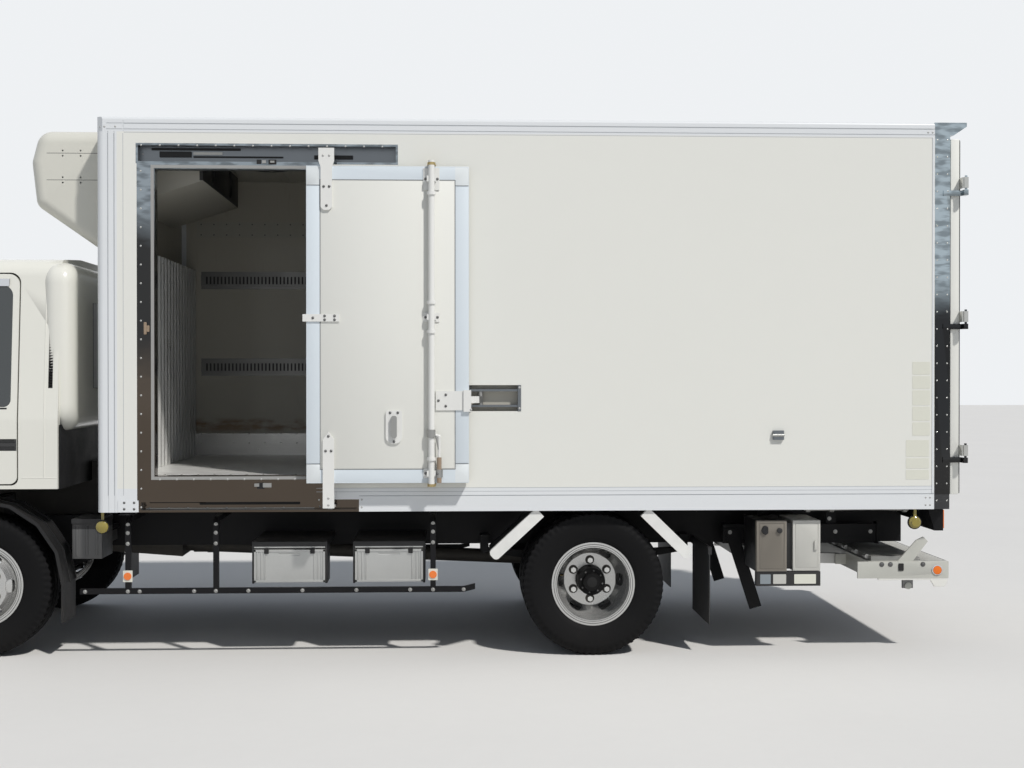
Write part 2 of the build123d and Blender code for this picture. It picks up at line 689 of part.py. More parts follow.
def side_guard():
    """Bar and bent posts. The rear end of the bar bends up."""
    outer = HALF_BODY - GUARD_IN
    inner = outer - GUARD_T
    low, high = GUARD_Z - GUARD_T / 2, GUARD_Z + GUARD_T / 2
    rear = WHEELBASE - GUARD_SHORT
    guard = slab(GUARD_FRONT_BACK, rear - 64, inner, outer, low, high)
    guard += side_prism([(rear - 64, low), (rear, low + 16), (rear, high + 16), (rear - 64, high)], inner, outer)
    top = CROSSER_BOTTOM - GUARD_T
    post = [(outer, low + 5), (outer, top), (FRAME_HALF, top), (FRAME_HALF, top - GUARD_T), (inner, top - GUARD_T),
            (inner, low + 5)]
    for distance in (835, 1320, rear - 236):
        guard += end_prism(post, distance - 15, distance + 15, [0, 70, 0, 0, 40, 0])
    return guard


def mudguard_boards():
    """Sloped boards before and behind the rear tyres, with the white stays on their outer ends."""
    outer = HALF_BODY - STAY_IN
    inner = outer - STAY_T
    pieces = []
    for top, low in ((-305, -573), (283, 537)):
        ends = [(WHEELBASE + top, SKIRT_BOTTOM - 11), (WHEELBASE + low, SKIRT_BOTTOM - 258)]
        run = Vector(ends[1][0] - ends[0][0], ends[1][1] - ends[0][1])
        across = Vector(-run.Y, run.X).normalized()
        # half width, lower corners, inner face, outer face and the level each one is cut off at
        for half, corner, y0, y1, cut in ((STAY_W / 2, 24, inner, outer, SKIRT_BOTTOM),
                                          (5, 0, 560, inner, CROSSER_BOTTOM)):
            shape = [(distance + across.X * sign * half, height + across.Y * sign * half)
                     for (distance, height), sign in zip(ends + ends[::-1], (1, 1, -1, -1))]
            piece = side_prism(shape, y0, y1, [0, corner, corner, 0])
            pieces.append(piece - slab(ends[1][0] - 400, ends[1][0] + 600, y0 - 1, y1 + 1, cut, cut + 100))
    return fused(pieces)


def rear_flap():
    outer = HALF_BODY - 100
    flap = slab(WHEELBASE + 660, WHEELBASE + 666, FRAME_HALF + 40, outer, 162, FRAME_BOTTOM + 2)
    return flap + slab(WHEELBASE + 655, WHEELBASE + 675, FRAME_HALF, outer, FRAME_BOTTOM, FRAME_BOTTOM + 40)


def arch(radius, thickness, y0, y1):
    """A folded arch of flat strips over the front axle."""
    folds = 8
    level = TYRE_R + 10
    turns = [math.pi * index / folds for index in range(folds + 1)]
    outer = [(radius * math.cos(turn), level + radius * math.sin(turn)) for turn in turns]
    inner = [((radius - thickness) * math.cos(turn), level + (radius - thickness) * math.sin(turn)) for turn in turns]
    return side_prism(outer + inner[::-1], y0, y1)


def front_mudguard():
    """Arched guard over the steered tyre with its raised folds, its flap, and the arm that holds it."""
    radius = TYRE_R + 74
    inner, outer = HALF_BODY - 380, HALF_BODY - 110
    guard = arch(radius, 12, inner, outer)
    for y in (inner, (inner + outer) / 2 - 7, outer - 14):
        guard += arch(radius + 7, 10, y, y + 14)
    guard += slab(radius - 12, radius, inner, outer, 198, TYRE_R + 12)
    guard += slab(-30, 30, FRAME_HALF - 50, inner + 10, TYRE_R + 464, TYRE_R + 474)
    return guard + slab(-30, 30, FRAME_HALF - 50, FRAME_HALF - 8, FRAME_TOP, TYRE_R + 470)


def cab_step():
    """Two treads in a moulded box under the cab door."""
    outer = CAB_HALF - 15
    step = side_prism([(-860, 380), (-520, 380), (-520, 560), (-600, 660), (-860, 660)], 700, outer,
                      [20, 20, 30, 30, 0])
    step -= side_prism([(-830, 480), (-550, 480), (-550, 560), (-610, 640), (-830, 640)], 780, outer + 15)
    step -= side_prism([(-830, 404), (-550, 404), (-550, 452), (-830, 452)], 860, outer + 15)
    return step + slab(-760, -700, FRAME_HALF, 701, 580, 640)


def bumper():
    """A wrapped-round beam with an air slot and two lamp recesses, on arms from the rails."""
    nose = -FRONT_OVERHANG
    bend, tip = CAB_HALF - 240, CAB_HALF - 15
    half = [(nose, bend), (nose + 100, tip), (nose + 240, tip), (nose + 240, tip - 55), (nose + 130, tip - 55),
            (nose + 70, bend - 20)]
    beam = plan_prism(half + [(distance, -y) for distance, y in half[::-1]], 400, 588)
    beam -= slab(nose - 1, nose + 14, -bend + 340, bend - 340, 432, 486)
    lamp = slab(nose - 1, nose + 20, bend - 160, bend - 60, 440, 510)
    beam -= both_sides(lamp)
    for side in (-1, 1):
        y0, y1 = sorted((side * (FRAME_HALF - 60), side * FRAME_HALF))
        beam += slab(nose + 68, FRAME_FRONT_BACK, y0, y1, 420, 575)
    return beam


def rear_lamp_bar():
    """Cross bar under the portal with the slanted black lamp housings."""
    half = HALF_BODY - 100
    bar_piece = slab(FRAME_REAR_BACK, BOX_REAR_BACK, -half, half, FRAME_TOP - 20, CROSSER_BOTTOM)
    housing = side_prism([(BOX_REAR_BACK - 90, CROSSER_BOTTOM), (BOX_REAR_BACK, CROSSER_BOTTOM),
                          (BOX_REAR_BACK, FRAME_TOP - 50), (BOX_REAR_BACK - 50, FRAME_TOP - 50)], half - 360, half)
    return bar_piece + both_sides(housing)


def marker_lamps():
    """Round side lamps on stalks, reflectors on the guard posts and the rear lamp clusters."""
    lamps = []
    # distance back, height and outer face of each side lamp
    for distance, height, y in ((703, 738, HALF_BODY - 48), (BOX_REAR_BACK - 188, 745, HALF_BODY - 10)):
        lamps.append(bar(22, (distance, y - 20, height), (distance, y, height)))
        lamps.append(slab(distance - 8, distance + 8, y - 20, y - 12, height, SKIRT_BOTTOM))
    post = HALF_BODY - GUARD_IN
    for distance in (835, WHEELBASE - GUARD_SHORT - 236):
        lamps.append(slab(distance - 26, distance + 26, post, post + 4, 428, 492))
        lamps.append(bar(21, (distance, post + 3, 460), (distance, post + 9, 460)))
    half = HALF_BODY - 100
    for y in (half - 350, half - 235, half - 120):
        lamps.append(slab(BOX_REAR_BACK, BOX_REAR_BACK + 10, y, y + 105, 702, 806))
    return both_sides(fused(lamps))


# Cargo body

def crosser_fronts():
    """Front edge of each cross member under the floor."""
    pitch = (PORTAL_FRONT_BACK - FRONT_IN_BACK - CROSSER_W) / (CROSSER_COUNT - 1)
    return [FRONT_IN_BACK + pitch * index for index in range(CROSSER_COUNT)]


def box_subframe():
    frame = both_sides(slab(BOX_FRONT_BACK + 60, PORTAL_FRONT_BACK, FRAME_HALF - 60, FRAME_HALF, FRAME_TOP,
                            CROSSER_BOTTOM))
    for front in crosser_fronts():
        frame += slab(front, front + CROSSER_W, -SIDE_IN, SIDE_IN, CROSSER_BOTTOM, FLOOR_UNDER)
    return frame


def box_floor():
    """The insulated floor, with the deck sheet that the load stands on between the kick plates."""
    under_deck = FLOOR_TOP - DECK_T
    half = SIDE_IN - KICK_T - DECK_GAP
    base = slab(FRONT_IN_BACK, PORTAL_FRONT_BACK, -SIDE_IN, SIDE_IN, FLOOR_UNDER, under_deck)
    return base + slab(FRONT_IN_BACK + LINING_T + DECK_GAP, PORTAL_FRONT_BACK, -half, half, under_deck, FLOOR_TOP)


def box_wall(side):
    """A side wall. The left one is cut for the doorway, the tracks and the door's rear pocket."""
    wall = slab(BOX_FRONT_BACK + POST_W, PORTAL_FRONT_BACK, SIDE_IN, HALF_BODY, SKIRT_TOP, ROOF_UNDER)
    if side < 0:
        return other_side(wall)
    wall -= slab(SURROUND_FRONT_BACK, SURROUND_REAR_BACK, SIDE_IN - 5, HALF_BODY + 5, FLOOR_UNDER, HEADER_BOTTOM)
    wall -= slab(HEADER_FRONT_BACK, HEADER_REAR_BACK, SIDE_IN - 5, HALF_BODY + 5, HEADER_BOTTOM, HEADER_TOP)
    wall -= slab(POCKET_FRONT_BACK, POCKET_FRONT_BACK + POCKET_L, HALF_BODY - POCKET_DEEP, HALF_BODY + 5,
                 POCKET_BOTTOM, POCKET_BOTTOM + POCKET_H)
    return wall


def box_wall_front():
    return slab(BOX_FRONT_BACK, FRONT_IN_BACK, -SIDE_IN, SIDE_IN, FLOOR_UNDER, ROOF_UNDER)


def box_roof():
    return slab(BOX_FRONT_BACK, PORTAL_FRONT_BACK, -SIDE_IN, SIDE_IN, ROOF_UNDER, BODY_TOP)


def face_groove(front, rear, z0, z1):
    """The block that cuts a groove in the body's side face."""
    return slab(front, rear, HALF_BODY - GROOVE_DEEP, HALF_BODY + 1, z0, z1)


def edge_rails():
    """White rails round the roof and the front corner posts, with their drawn grooves and chamfered corner caps."""
    post_rear = BOX_FRONT_BACK + POST_W
    rail = end_prism([(SIDE_IN, ROOF_UNDER), (HALF_BODY, ROOF_UNDER), (HALF_BODY, BODY_TOP), (SIDE_IN, BODY_TOP)],
                     BOX_FRONT_BACK, PORTAL_FRONT_BACK, [0, 0, RAIL_ROUND, 0])
    cap = 36
    rail -= plan_prism([(BOX_FRONT_BACK - 1, HALF_BODY - cap), (BOX_FRONT_BACK - 1, HALF_BODY + 1),
                        (BOX_FRONT_BACK + cap, HALF_BODY + 1)], ROOF_UNDER - 1, BODY_TOP + 1)
    for level in (ROOF_UNDER + 12, ROOF_UNDER + 44):
        rail -= face_groove(BOX_FRONT_BACK + cap + 20, PORTAL_FRONT_BACK + 1, level, level + GROOVE_W)
    rail -= face_groove(BOX_FRONT_BACK + 146, BOX_FRONT_BACK + 150, ROOF_UNDER - 1, ROOF_UNDER + 60)
    post = plan_prism([(BOX_FRONT_BACK, SIDE_IN), (post_rear, SIDE_IN), (post_rear, HALF_BODY),
                       (BOX_FRONT_BACK, HALF_BODY)], SKIRT_BOTTOM, ROOF_UNDER, [0, 0, 0, POST_ROUND])
    for distance in (post_rear - 50, post_rear - 16):
        post -= face_groove(distance, distance + GROOVE_W, SKIRT_BOTTOM - 1, ROOF_UNDER + 1)
    return both_sides(rail + post)


def skirts():
    """White lower edges of the side walls. The left one leaves room for the sliding door's track."""
    lip = HALF_BODY - SKIRT_T
    post_rear = BOX_FRONT_BACK + POST_W
    level = SKIRT_BOTTOM + 85
    groove = face_groove(BOX_FRONT_BACK, PORTAL_FRONT_BACK + 1, level, level + GROOVE_W)
    right = other_side(slab(post_rear, PORTAL_FRONT_BACK, lip, HALF_BODY, SKIRT_BOTTOM, SKIRT_TOP) - groove)
    left = slab(TRACK_REAR_BACK, PORTAL_FRONT_BACK, lip, HALF_BODY, SKIRT_BOTTOM, SKIRT_TOP) - groove
    left += slab(SURROUND_REAR_BACK, TRACK_REAR_BACK, lip, HALF_BODY, FLOOR_UNDER, SKIRT_TOP)
    front = slab(post_rear, SURROUND_FRONT_BACK, lip, HALF_BODY, SKIRT_BOTTOM, SKIRT_TOP)
    front += slab(post_rear + 2, TRACK_FRONT_BACK - 2, HALF_BODY - 1, HALF_BODY + 3, SKIRT_BOTTOM + 2,
                  FLOOR_UNDER - 2)
    return right + left + front


def rear_portal():
    """Stainless frame round the rear doors, with the eave over them and the hinge lugs."""
    ring = slab(PORTAL_FRONT_BACK, BOX_REAR_BACK, -HALF_BODY, HALF_BODY, SKIRT_BOTTOM, BODY_TOP)
    ring -= slab(PORTAL_FRONT_BACK - 5, BOX_REAR_BACK + 5, -HALF_BODY + PORTAL_SIDE, HALF_BODY - PORTAL_SIDE,
                 FLOOR_TOP, BODY_TOP - PORTAL_HEAD)
    ring += side_prism([(BOX_REAR_BACK, BODY_TOP - EAVE_H), (BOX_REAR_BACK + 20, BODY_TOP - EAVE_H),
                        (TIP_BACK, BODY_TOP - EAVE_LIP), (TIP_BACK, BODY_TOP), (BOX_REAR_BACK, BODY_TOP)],
                       -HALF_BODY, HALF_BODY)
    lugs = []
    for level in HINGE_LEVELS:
        low = level - HINGE_H / 2 - 40
        lugs.append(slab(BOX_REAR_BACK - 40, PIN_BACK + HINGE_R, HALF_BODY, HALF_BODY + 8, low, low + 30))
        lugs.append(slab(PIN_BACK - HINGE_R, PIN_BACK + HINGE_R, HALF_BODY, PIN_Y, low, low + 30))
        lugs.append(Pos(back(PIN_BACK), PIN_Y, low + 15) * Cylinder(HINGE_R, 30))
        lugs.append(Pos(back(PIN_BACK), PIN_Y, level - 10) * Cylinder(HINGE_R / 2, 100))
    return ring + both_sides(fused(lugs))


def door_surround():
    """Stainless frame of the doorway, with the raised seal round the clear opening."""
    frame = slab(SURROUND_FRONT_BACK, SURROUND_REAR_BACK, SIDE_IN, HALF_BODY, FLOOR_UNDER, HEADER_BOTTOM)
    lip = 3
    frame += ring_slab(CLEAR_FRONT_BACK - SEAL_W, CLEAR_REAR_BACK + SEAL_W, HALF_BODY - 1, HALF_BODY + SEAL_LIP,
                       SILL_TOP - SEAL_W, CLEAR_TOP + SEAL_W, SEAL_W - lip)
    return frame - slab(CLEAR_FRONT_BACK, CLEAR_REAR_BACK, SIDE_IN - 5, HALF_BODY - 1, SILL_TOP, CLEAR_TOP) - slab(
        CLEAR_FRONT_BACK - lip, CLEAR_REAR_BACK + lip, HALF_BODY - 1, HALF_BODY + SEAL_LIP + 1, SILL_TOP - lip,
        CLEAR_TOP + lip)


def channel(front, rear, z0, z1):
    """A track let into the wall, open outwards."""
    housing = slab(front, rear, SIDE_IN + 2, HALF_BODY, z0, z1)
    housing -= slab(front + CHANNEL_T, rear - CHANNEL_T, HALF_BODY - CHANNEL_DEPTH, HALF_BODY + 5, z0 + CHANNEL_T,
                    z1 - CHANNEL_T)
    return housing


def door_tracks():
    """The header track, the lower track and the two rails and end plate in the door's rear pocket."""
    tracks = channel(HEADER_FRONT_BACK, HEADER_REAR_BACK, HEADER_BOTTOM, HEADER_TOP)
    tracks += channel(TRACK_FRONT_BACK, TRACK_REAR_BACK, SKIRT_BOTTOM, FLOOR_UNDER)
    pocket_rear = POCKET_FRONT_BACK + POCKET_L
    floor_y = HALF_BODY - POCKET_DEEP
    for level in (POCKET_BOTTOM + 23, POCKET_BOTTOM + 110):
        tracks += slab(POCKET_FRONT_BACK, pocket_rear, floor_y, HALF_BODY - 8, level, level + 12)
    tracks += slab(pocket_rear - 18, pocket_rear, floor_y, HALF_BODY + 3, POCKET_BOTTOM, POCKET_BOTTOM + POCKET_H)
    catch = BOX_REAR_BACK - 1005
    return tracks + slab(catch, catch + 60, HALF_BODY, HALF_BODY + 18, 1215, 1267)


def sliding_door():
    """The panel, with seams inside its edge strips and at its corner pieces, and its inner gasket."""
    front, rear, low, high = SLIDER_FRONT_BACK, SLIDER_REAR_BACK, SLIDER_BOTTOM, SLIDER_TOP
    panel = slab(front, rear, SLIDER_IN_Y, SLIDER_OUT_Y, low, high)
    y0, y1 = SLIDER_OUT_Y - 2, SLIDER_OUT_Y + 1
    strip = SLIDER_FRAME_W
    panel -= ring_slab(front + strip, rear - strip, y0, y1, low + strip, high - strip, GROOVE_W)
    for edge, inner in ((front, front + strip + 1), (rear - strip - 1, rear)):
        for level in (low + SLIDER_CORNER, high - SLIDER_CORNER - GROOVE_W):
            panel -= slab(min(edge, inner) - 1, max(edge, inner) + 1, y0, y1, level, level + GROOVE_W)
    gasket = ring_slab(front + 20, rear - 20, SLIDER_IN_Y - 7, SLIDER_IN_Y + 1, low + 20, high - 20, 24)
    return panel + gasket


def door_arm(distance, shape):
    """An arm that lies on the door's face and turns in towards its track."""
    return side_prism([(distance + across, height) for across, height in shape], SLIDER_OUT_Y, SLIDER_OUT_Y + ARM_T)


def door_arms():
    """The two arms with their rollers in the tracks, and the strap with the hooked tip between them."""
    half, head = ARM_W / 2, ARM_HEAD_W / 2
    face = SLIDER_OUT_Y
    upper, lower = ARM_BACK - 5, ARM_BACK + 5
    top, foot = HEADER_TOP - 36, SLIDER_TOP - UPPER_ARM_DOWN
    left = [(-head, top), (-head, top - 70), (-half, top - 105), (-half, foot + 16), (-half + 16, foot)]
    arms = door_arm(upper, left + [(-across, height) for across, height in left[::-1]])
    arms += slab(upper - half, upper + half, HALF_BODY - 40, face + ARM_T, top - ARM_T, top)
    track_floor = HEADER_BOTTOM + CHANNEL_T + FIT
    roller_z = track_floor + ROLLER_R
    arms += bar(ROLLER_R, (upper, HALF_BODY - 50, roller_z), (upper, HALF_BODY - 30, roller_z))
    arms += slab(upper - 12, upper + 12, HALF_BODY - 40, HALF_BODY - 32, roller_z, top - 10)
    leg, tip = SKIRT_BOTTOM + 28, SLIDER_BOTTOM + LOWER_ARM_UP
    arms += door_arm(lower, [(-half, leg), (-half, tip - 42), (0, tip), (half, tip - 42), (half, leg)])
    arms += slab(lower - half, lower + half, HALF_BODY - 40, face + ARM_T, leg, leg + ARM_T)
    arms += Pos(back(lower), HALF_BODY - 26, SKIRT_BOTTOM + CHANNEL_T + FIT) * Cylinder(
        13, 18, align=(Align.CENTER, Align.CENTER, Align.MIN))
    middle = (SLIDER_BOTTOM + SLIDER_TOP) / 2 + 37
    arms += slab(SLIDER_FRONT_BACK - 19, SLIDER_FRONT_BACK + 181, face, face + 8, middle - 20, middle + 20)
    return arms + slab(SLIDER_FRONT_BACK - 19, SLIDER_FRONT_BACK - 9, face - 24, face + 8, middle - 15, middle + 15)


def lock_rod():
    """The door's lock rod with its three guides, a cam over each end of the door, and the lever beside it."""
    face = SLIDER_OUT_Y
    axis_y = face + LOCK_ROD_OUT
    low, high = SLIDER_BOTTOM - LOCK_ROD_UNDER, SLIDER_TOP + LOCK_ROD_OVER
    rod = bar(LOCK_ROD_R, (LOCK_ROD_BACK, axis_y, low), (LOCK_ROD_BACK, axis_y, high))
    # level, half height of the plate and of the guide
    for level, plate, guide in ((SLIDER_BOTTOM + 54, 26, 16), ((low + high) / 2 + 36, 26, 16),
                                (SLIDER_TOP - 70, 60, 16)):
        rod += slab(LOCK_ROD_BACK - 44, LOCK_ROD_BACK + 44, face, face + 6, level - plate, level + plate)
        rod += slab(LOCK_ROD_BACK - 25, LOCK_ROD_BACK + 25, face + 5, axis_y + 8, level - guide, level + guide)
    for level in (low, high - 25):
        rod += slab(LOCK_ROD_BACK - 22, LOCK_ROD_BACK + 22, SLIDER_IN_Y + 10, axis_y, level, level + 14)
        rod += slab(LOCK_ROD_BACK - 14, LOCK_ROD_BACK + 26, SLIDER_IN_Y + 10, SLIDER_IN_Y + 30, level, level + 14)
    lever = LOCK_ROD_BACK + 42
    hub_z = SLIDER_BOTTOM + 272
    rod += bar(LOCK_ROD_R + 8, (LOCK_ROD_BACK, axis_y, hub_z - 20), (LOCK_ROD_BACK, axis_y, hub_z + 20))
    rod += pipe(8, [(LOCK_ROD_BACK, axis_y, hub_z), (lever, axis_y + 8, hub_z - 14),
                    (lever, axis_y + 8, hub_z - 150)])
    rod += bar(13, (lever, axis_y + 8, SLIDER_BOTTOM + 4), (lever, axis_y + 8, hub_z - 130))
    return rod + slab(lever - 20, lever + 20, face, axis_y, SLIDER_BOTTOM + 34, SLIDER_BOTTOM + 74)


def release_handle():
    """A round-bottomed plate with its lever."""
    middle, level = SLIDER_FRONT_BACK + 478, SLIDER_BOTTOM + 307
    face = SLIDER_OUT_Y
    plate = side_prism([(middle - 45, level + 90), (middle - 45, level - 90), (middle + 45, level - 90),
                        (middle + 45, level + 90)], face, face + 12, [12, 40, 40, 12])
    lever = side_prism([(middle - 16, level + 62), (middle - 16, level - 58), (middle + 16, level - 58),
                        (middle + 16, level + 62)], face + 11, face + 32, 12)
    return plate + lever


def rear_arm():
    """The bracket at the door's rear edge, its hinge block, and the link into the pocket's roller."""
    face = SLIDER_OUT_Y
    rear = SLIDER_REAR_BACK
    low, high = POCKET_BOTTOM + 8, POCKET_BOTTOM + 113
    arm = slab(rear - 182, rear, face, face + 8, low, high)
    arm += slab(rear - 30, rear + 12, face, face + 18, low - 8, high + 5)
    arm += slab(rear + 4, rear + 12, HALF_BODY + 10, face + 18, low + 10, high - 10)
    arm += plan_prism([(rear + 10, HALF_BODY + 16), (rear + 10, HALF_BODY + 40), (rear + 34, HALF_BODY + 40),
                       (rear + 78, HALF_BODY - 16), (rear + 58, HALF_BODY - 32)], low + 38, high - 30)
    roller_z = (POCKET_BOTTOM + 35 + POCKET_BOTTOM + 110) / 2
    return arm + Pos(back(rear + 66), HALF_BODY - 28, roller_z) * Cylinder(14, 74)


def lashing_rails():
    """Hat-section rails on both side walls. The left ones begin behind the doorway."""
    rear = PORTAL_FRONT_BACK - 48
    rails = []
    for level in LASHING_LEVELS:
        for front, side in ((FRONT_IN_BACK + 135, -1), (LINED_FRONT_BACK, 1)):
            rail = slab(front, rear, SIDE_IN - 3, SIDE_IN, level - LASHING_H / 2, level + LASHING_H / 2)
            rail += slab(front, rear, SIDE_IN - LASHING_T, SIDE_IN - 2, level - 36, level + 36)
            rails.append(rail if side > 0 else other_side(rail))
    return fused(rails)


def kick_plates():
    """Grooved plates along the foot of the side walls."""
    foot = FLOOR_TOP - DECK_T
    plates = []
    for front, side in ((FRONT_IN_BACK + LINING_T, -1), (LINED_FRONT_BACK, 1)):
        inner = SIDE_IN - KICK_T
        plate = slab(front, PORTAL_FRONT_BACK, inner, SIDE_IN, foot, KICK_TOP)
        for level in (foot + 35, foot + 65, foot + 95, foot + 125):
            plate -= slab(front - 1, PORTAL_FRONT_BACK + 1, inner - 1, inner + 3, level, level + 10)
        plates.append(plate if side > 0 else other_side(plate))
    return fused(plates)


def bulkhead_lining():
    """Corrugated panels on the front wall."""
    half = SIDE_IN - KICK_T
    count = round(2 * half / CORRUGATION_PITCH)
    pitch = 2 * half / count
    rear = FRONT_IN_BACK + LINING_T
    wave = [(FRONT_IN_BACK, half), (FRONT_IN_BACK, -half)]
    for index in range(count):
        start = -half + index * pitch
        # share of the pitch and depth of each fold
        for share, depth in ((0.05, 0), (0.35, 0), (0.5, CORRUGATION_DEEP), (0.9, CORRUGATION_DEEP)):
            wave.append((rear - depth, start + pitch * share))
    return plan_prism(wave, FLOOR_TOP - DECK_T, LINING_TOP)


def evaporator():
    """The cooling unit's inner half, with two fan recesses in its rear face."""
    rear = FRONT_IN_BACK + EVAPORATOR_REACH
    case = side_prism([(FRONT_IN_BACK, ROOF_UNDER - EVAPORATOR_FRONT_H), (rear, ROOF_UNDER - EVAPORATOR_REAR_H),
                       (rear, ROOF_UNDER), (FRONT_IN_BACK, ROOF_UNDER)], -EVAPORATOR_HALF, EVAPORATOR_HALF)
    for y in (-EVAPORATOR_HALF / 2, EVAPORATOR_HALF / 2):
        middle = ROOF_UNDER - EVAPORATOR_REAR_H / 2
        case -= bar(FAN_R, (rear - 12, y, middle), (rear + 1, y, middle))
    return case


def cooling_unit():
    """A moulded case over the cab, with chamfered front corners, seams round it, louvres and a conduit below."""
    top = BODY_TOP - UNIT_DROP
    low = CAB_ROOF + UNIT_OVER_CAB
    tall = top - low
    nose = BOX_FRONT_BACK - UNIT_REACH
    case = side_prism([(BOX_FRONT_BACK, low), (nose + 28, low + 0.4 * tall), (nose, top - 0.25 * tall),
                       (nose + 46, top), (BOX_FRONT_BACK, top)], -UNIT_HALF, UNIT_HALF, [0, 40, 60, 60, 0])
    for side in (-1, 1):
        case -= plan_prism([(nose - 5, side * (UNIT_HALF - UNIT_CORNER)), (nose - 5, side * (UNIT_HALF + 5)),
                            (nose + UNIT_CORNER, side * (UNIT_HALF + 5))], low - 5, top + 5)
    for share in (0.186, 0.4):
        level = top - share * tall
        for side in (-1, 1):
            y0, y1 = sorted((side * (UNIT_HALF - 6), side * (UNIT_HALF + 1)))
            case -= slab(nose + UNIT_CORNER, BOX_FRONT_BACK + 1, y0, y1, level - 3, level + 3)
    for index in range(6):
        level = low + (0.45 + 0.05 * index) * tall
        case -= slab(nose - 5, nose + 34, -UNIT_HALF + 260, UNIT_HALF - 260, level, level + 16)
    return case + slab(BOX_FRONT_BACK - 24, BOX_FRONT_BACK, UNIT_HALF - 90, UNIT_HALF - 50, low - 746, low + 60)


def rear_door(side):
    """A plug door: its skin lies over the portal and its thick middle fills the opening."""
    skin = slab(DOOR_IN_BACK, DOOR_OUT_BACK, DOOR_GAP, HALF_BODY - DOOR_EDGE_IN, DOOR_BOTTOM, DOOR_TOP)
    plug = slab(BOX_REAR_BACK - PLUG_IN, DOOR_IN_BACK, PLUG_GAP, HALF_BODY - PORTAL_SIDE - PLUG_CLEAR,
                FLOOR_TOP + PLUG_CLEAR, BODY_TOP - PORTAL_HEAD - PLUG_CLEAR)
    door = skin + plug
    return door if side > 0 else other_side(door)


def rear_door_fittings(side):
    """Hinge straps that reach round the edge to the pins, lock rods with cams, guides, levers and catches."""
    face = DOOR_OUT_BACK
    pieces = []
    for level in HINGE_LEVELS:
        strap = slab(face, face + STRAP_T, HALF_BODY - 160, PIN_Y, level - HINGE_H / 2, level + HINGE_H / 2)
        strap += Pos(back(PIN_BACK), PIN_Y, level) * Cylinder(HINGE_R, HINGE_H)
        pieces.append(strap - Pos(back(PIN_BACK), PIN_Y, level) * Cylinder(HINGE_R / 2 + FIT, 80))
    lever_z = DOOR_BOTTOM + 405
    for y in (260, 700):
        axis = face + REAR_ROD_OUT
        pieces.append(bar(REAR_ROD_R, (axis, y, DOOR_BOTTOM + 5), (axis, y, DOOR_TOP - 5)))
        for level in (DOOR_BOTTOM + 95, DOOR_BOTTOM + 595, DOOR_TOP - 805, DOOR_TOP - 105):
            pieces.append(slab(face, axis - 2, y - 25, y + 25, level - 20, level + 20))
        for level in (DOOR_BOTTOM + 5, DOOR_TOP - 35):
            pieces.append(slab(face + 4, axis, y - 6, y + 34, level, level + 30))
        pieces.append(bar(REAR_ROD_R + 4, (axis, y, lever_z - 26), (axis, y, lever_z + 26)))
        pieces.append(bar(9, (axis + 6, y, lever_z), (axis + 6, y + 240, lever_z)))
        pieces.append(slab(face, axis, y + 185, y + 225, lever_z - 20, lever_z + 20))
    total = fused(pieces)
    return total if side > 0 else other_side(total)


# Cab

def cab_body(inset, rounded=True):
    """The cab's outer form, or the same form drawn in by an inset all round, with round or flat corners."""
    def shape(points, radii):
        left = [max(radius - inset, 0) for radius in radii]
        return outline(points, left) if rounded else outline(cut_corners(points, left))

    side = shape(drawn_in([(back(distance), height) for distance, height in CAB_SIDE], inset), CAB_SIDE_RADII)
    half = [(CAB_HALF, CAB_NOSE_BOTTOM - 90), (CAB_HALF, CAB_WAIST), (CAB_ROOF_HALF, CAB_ROOF - CAB_ROOF_FALL),
            (CAB_CROWN_HALF, CAB_ROOF)]
    rounding = (0, 200, 110, CAB_CROWN_R)
    front = shape(drawn_in([(-y, z) for y, z in half] + half[::-1], inset), rounding + rounding[::-1])
    rear_x, front_x = back(CAB_REAR_BACK + CAB_OUTLINE_OVER), back(CAB_FRONT_BACK - CAB_OUTLINE_OVER)
    side_y = CAB_HALF + CAB_OUTLINE_OVER
    plan = shape(drawn_in([(rear_x, -side_y), (front_x, -side_y), (front_x, side_y), (rear_x, side_y)], inset),
                 (70, 170, 170, 70))
    along = Plane(origin=(0, CAB_HALF + 50, 0), x_dir=(1, 0, 0), z_dir=(0, -1, 0)) * extrude(
        side, amount=2 * CAB_HALF + 100)
    across = Plane(origin=(back(CAB_REAR_BACK + 100), 0, 0), x_dir=(0, 1, 0), z_dir=(1, 0, 0)) * extrude(
        front, amount=CAB_REAR_BACK - CAB_FRONT_BACK + 200)
    return along & across & Pos(0, 0, CAB_NOSE_BOTTOM - 50) * extrude(plan, amount=CAB_ROOF - CAB_NOSE_BOTTOM + 100)


def door_prism(inset, y0, y1):
    shape = outline(drawn_in([(back(distance), height) for distance, height in DOOR_SHAPE], inset),
                    [40, 60, 60, 0, 0, 60])
    return Plane(origin=(0, y1, 0), x_dir=(1, 0, 0), z_dir=(0, -1, 0)) * extrude(shape, amount=y1 - y0)


def door_handle(door):
    """The door with the recess and the bar of its handle."""
    middle, level = CAB_DOOR_REAR_BACK - 71, CAB_WAIST - 140
    door -= slab(middle - 52, middle + 52, CAB_HALF - 14, CAB_HALF + 1, level - 32, level + 32)
    return door + slab(middle - 60, middle + 60, CAB_HALF - 6, CAB_HALF + 5, level - 8, level + 10)


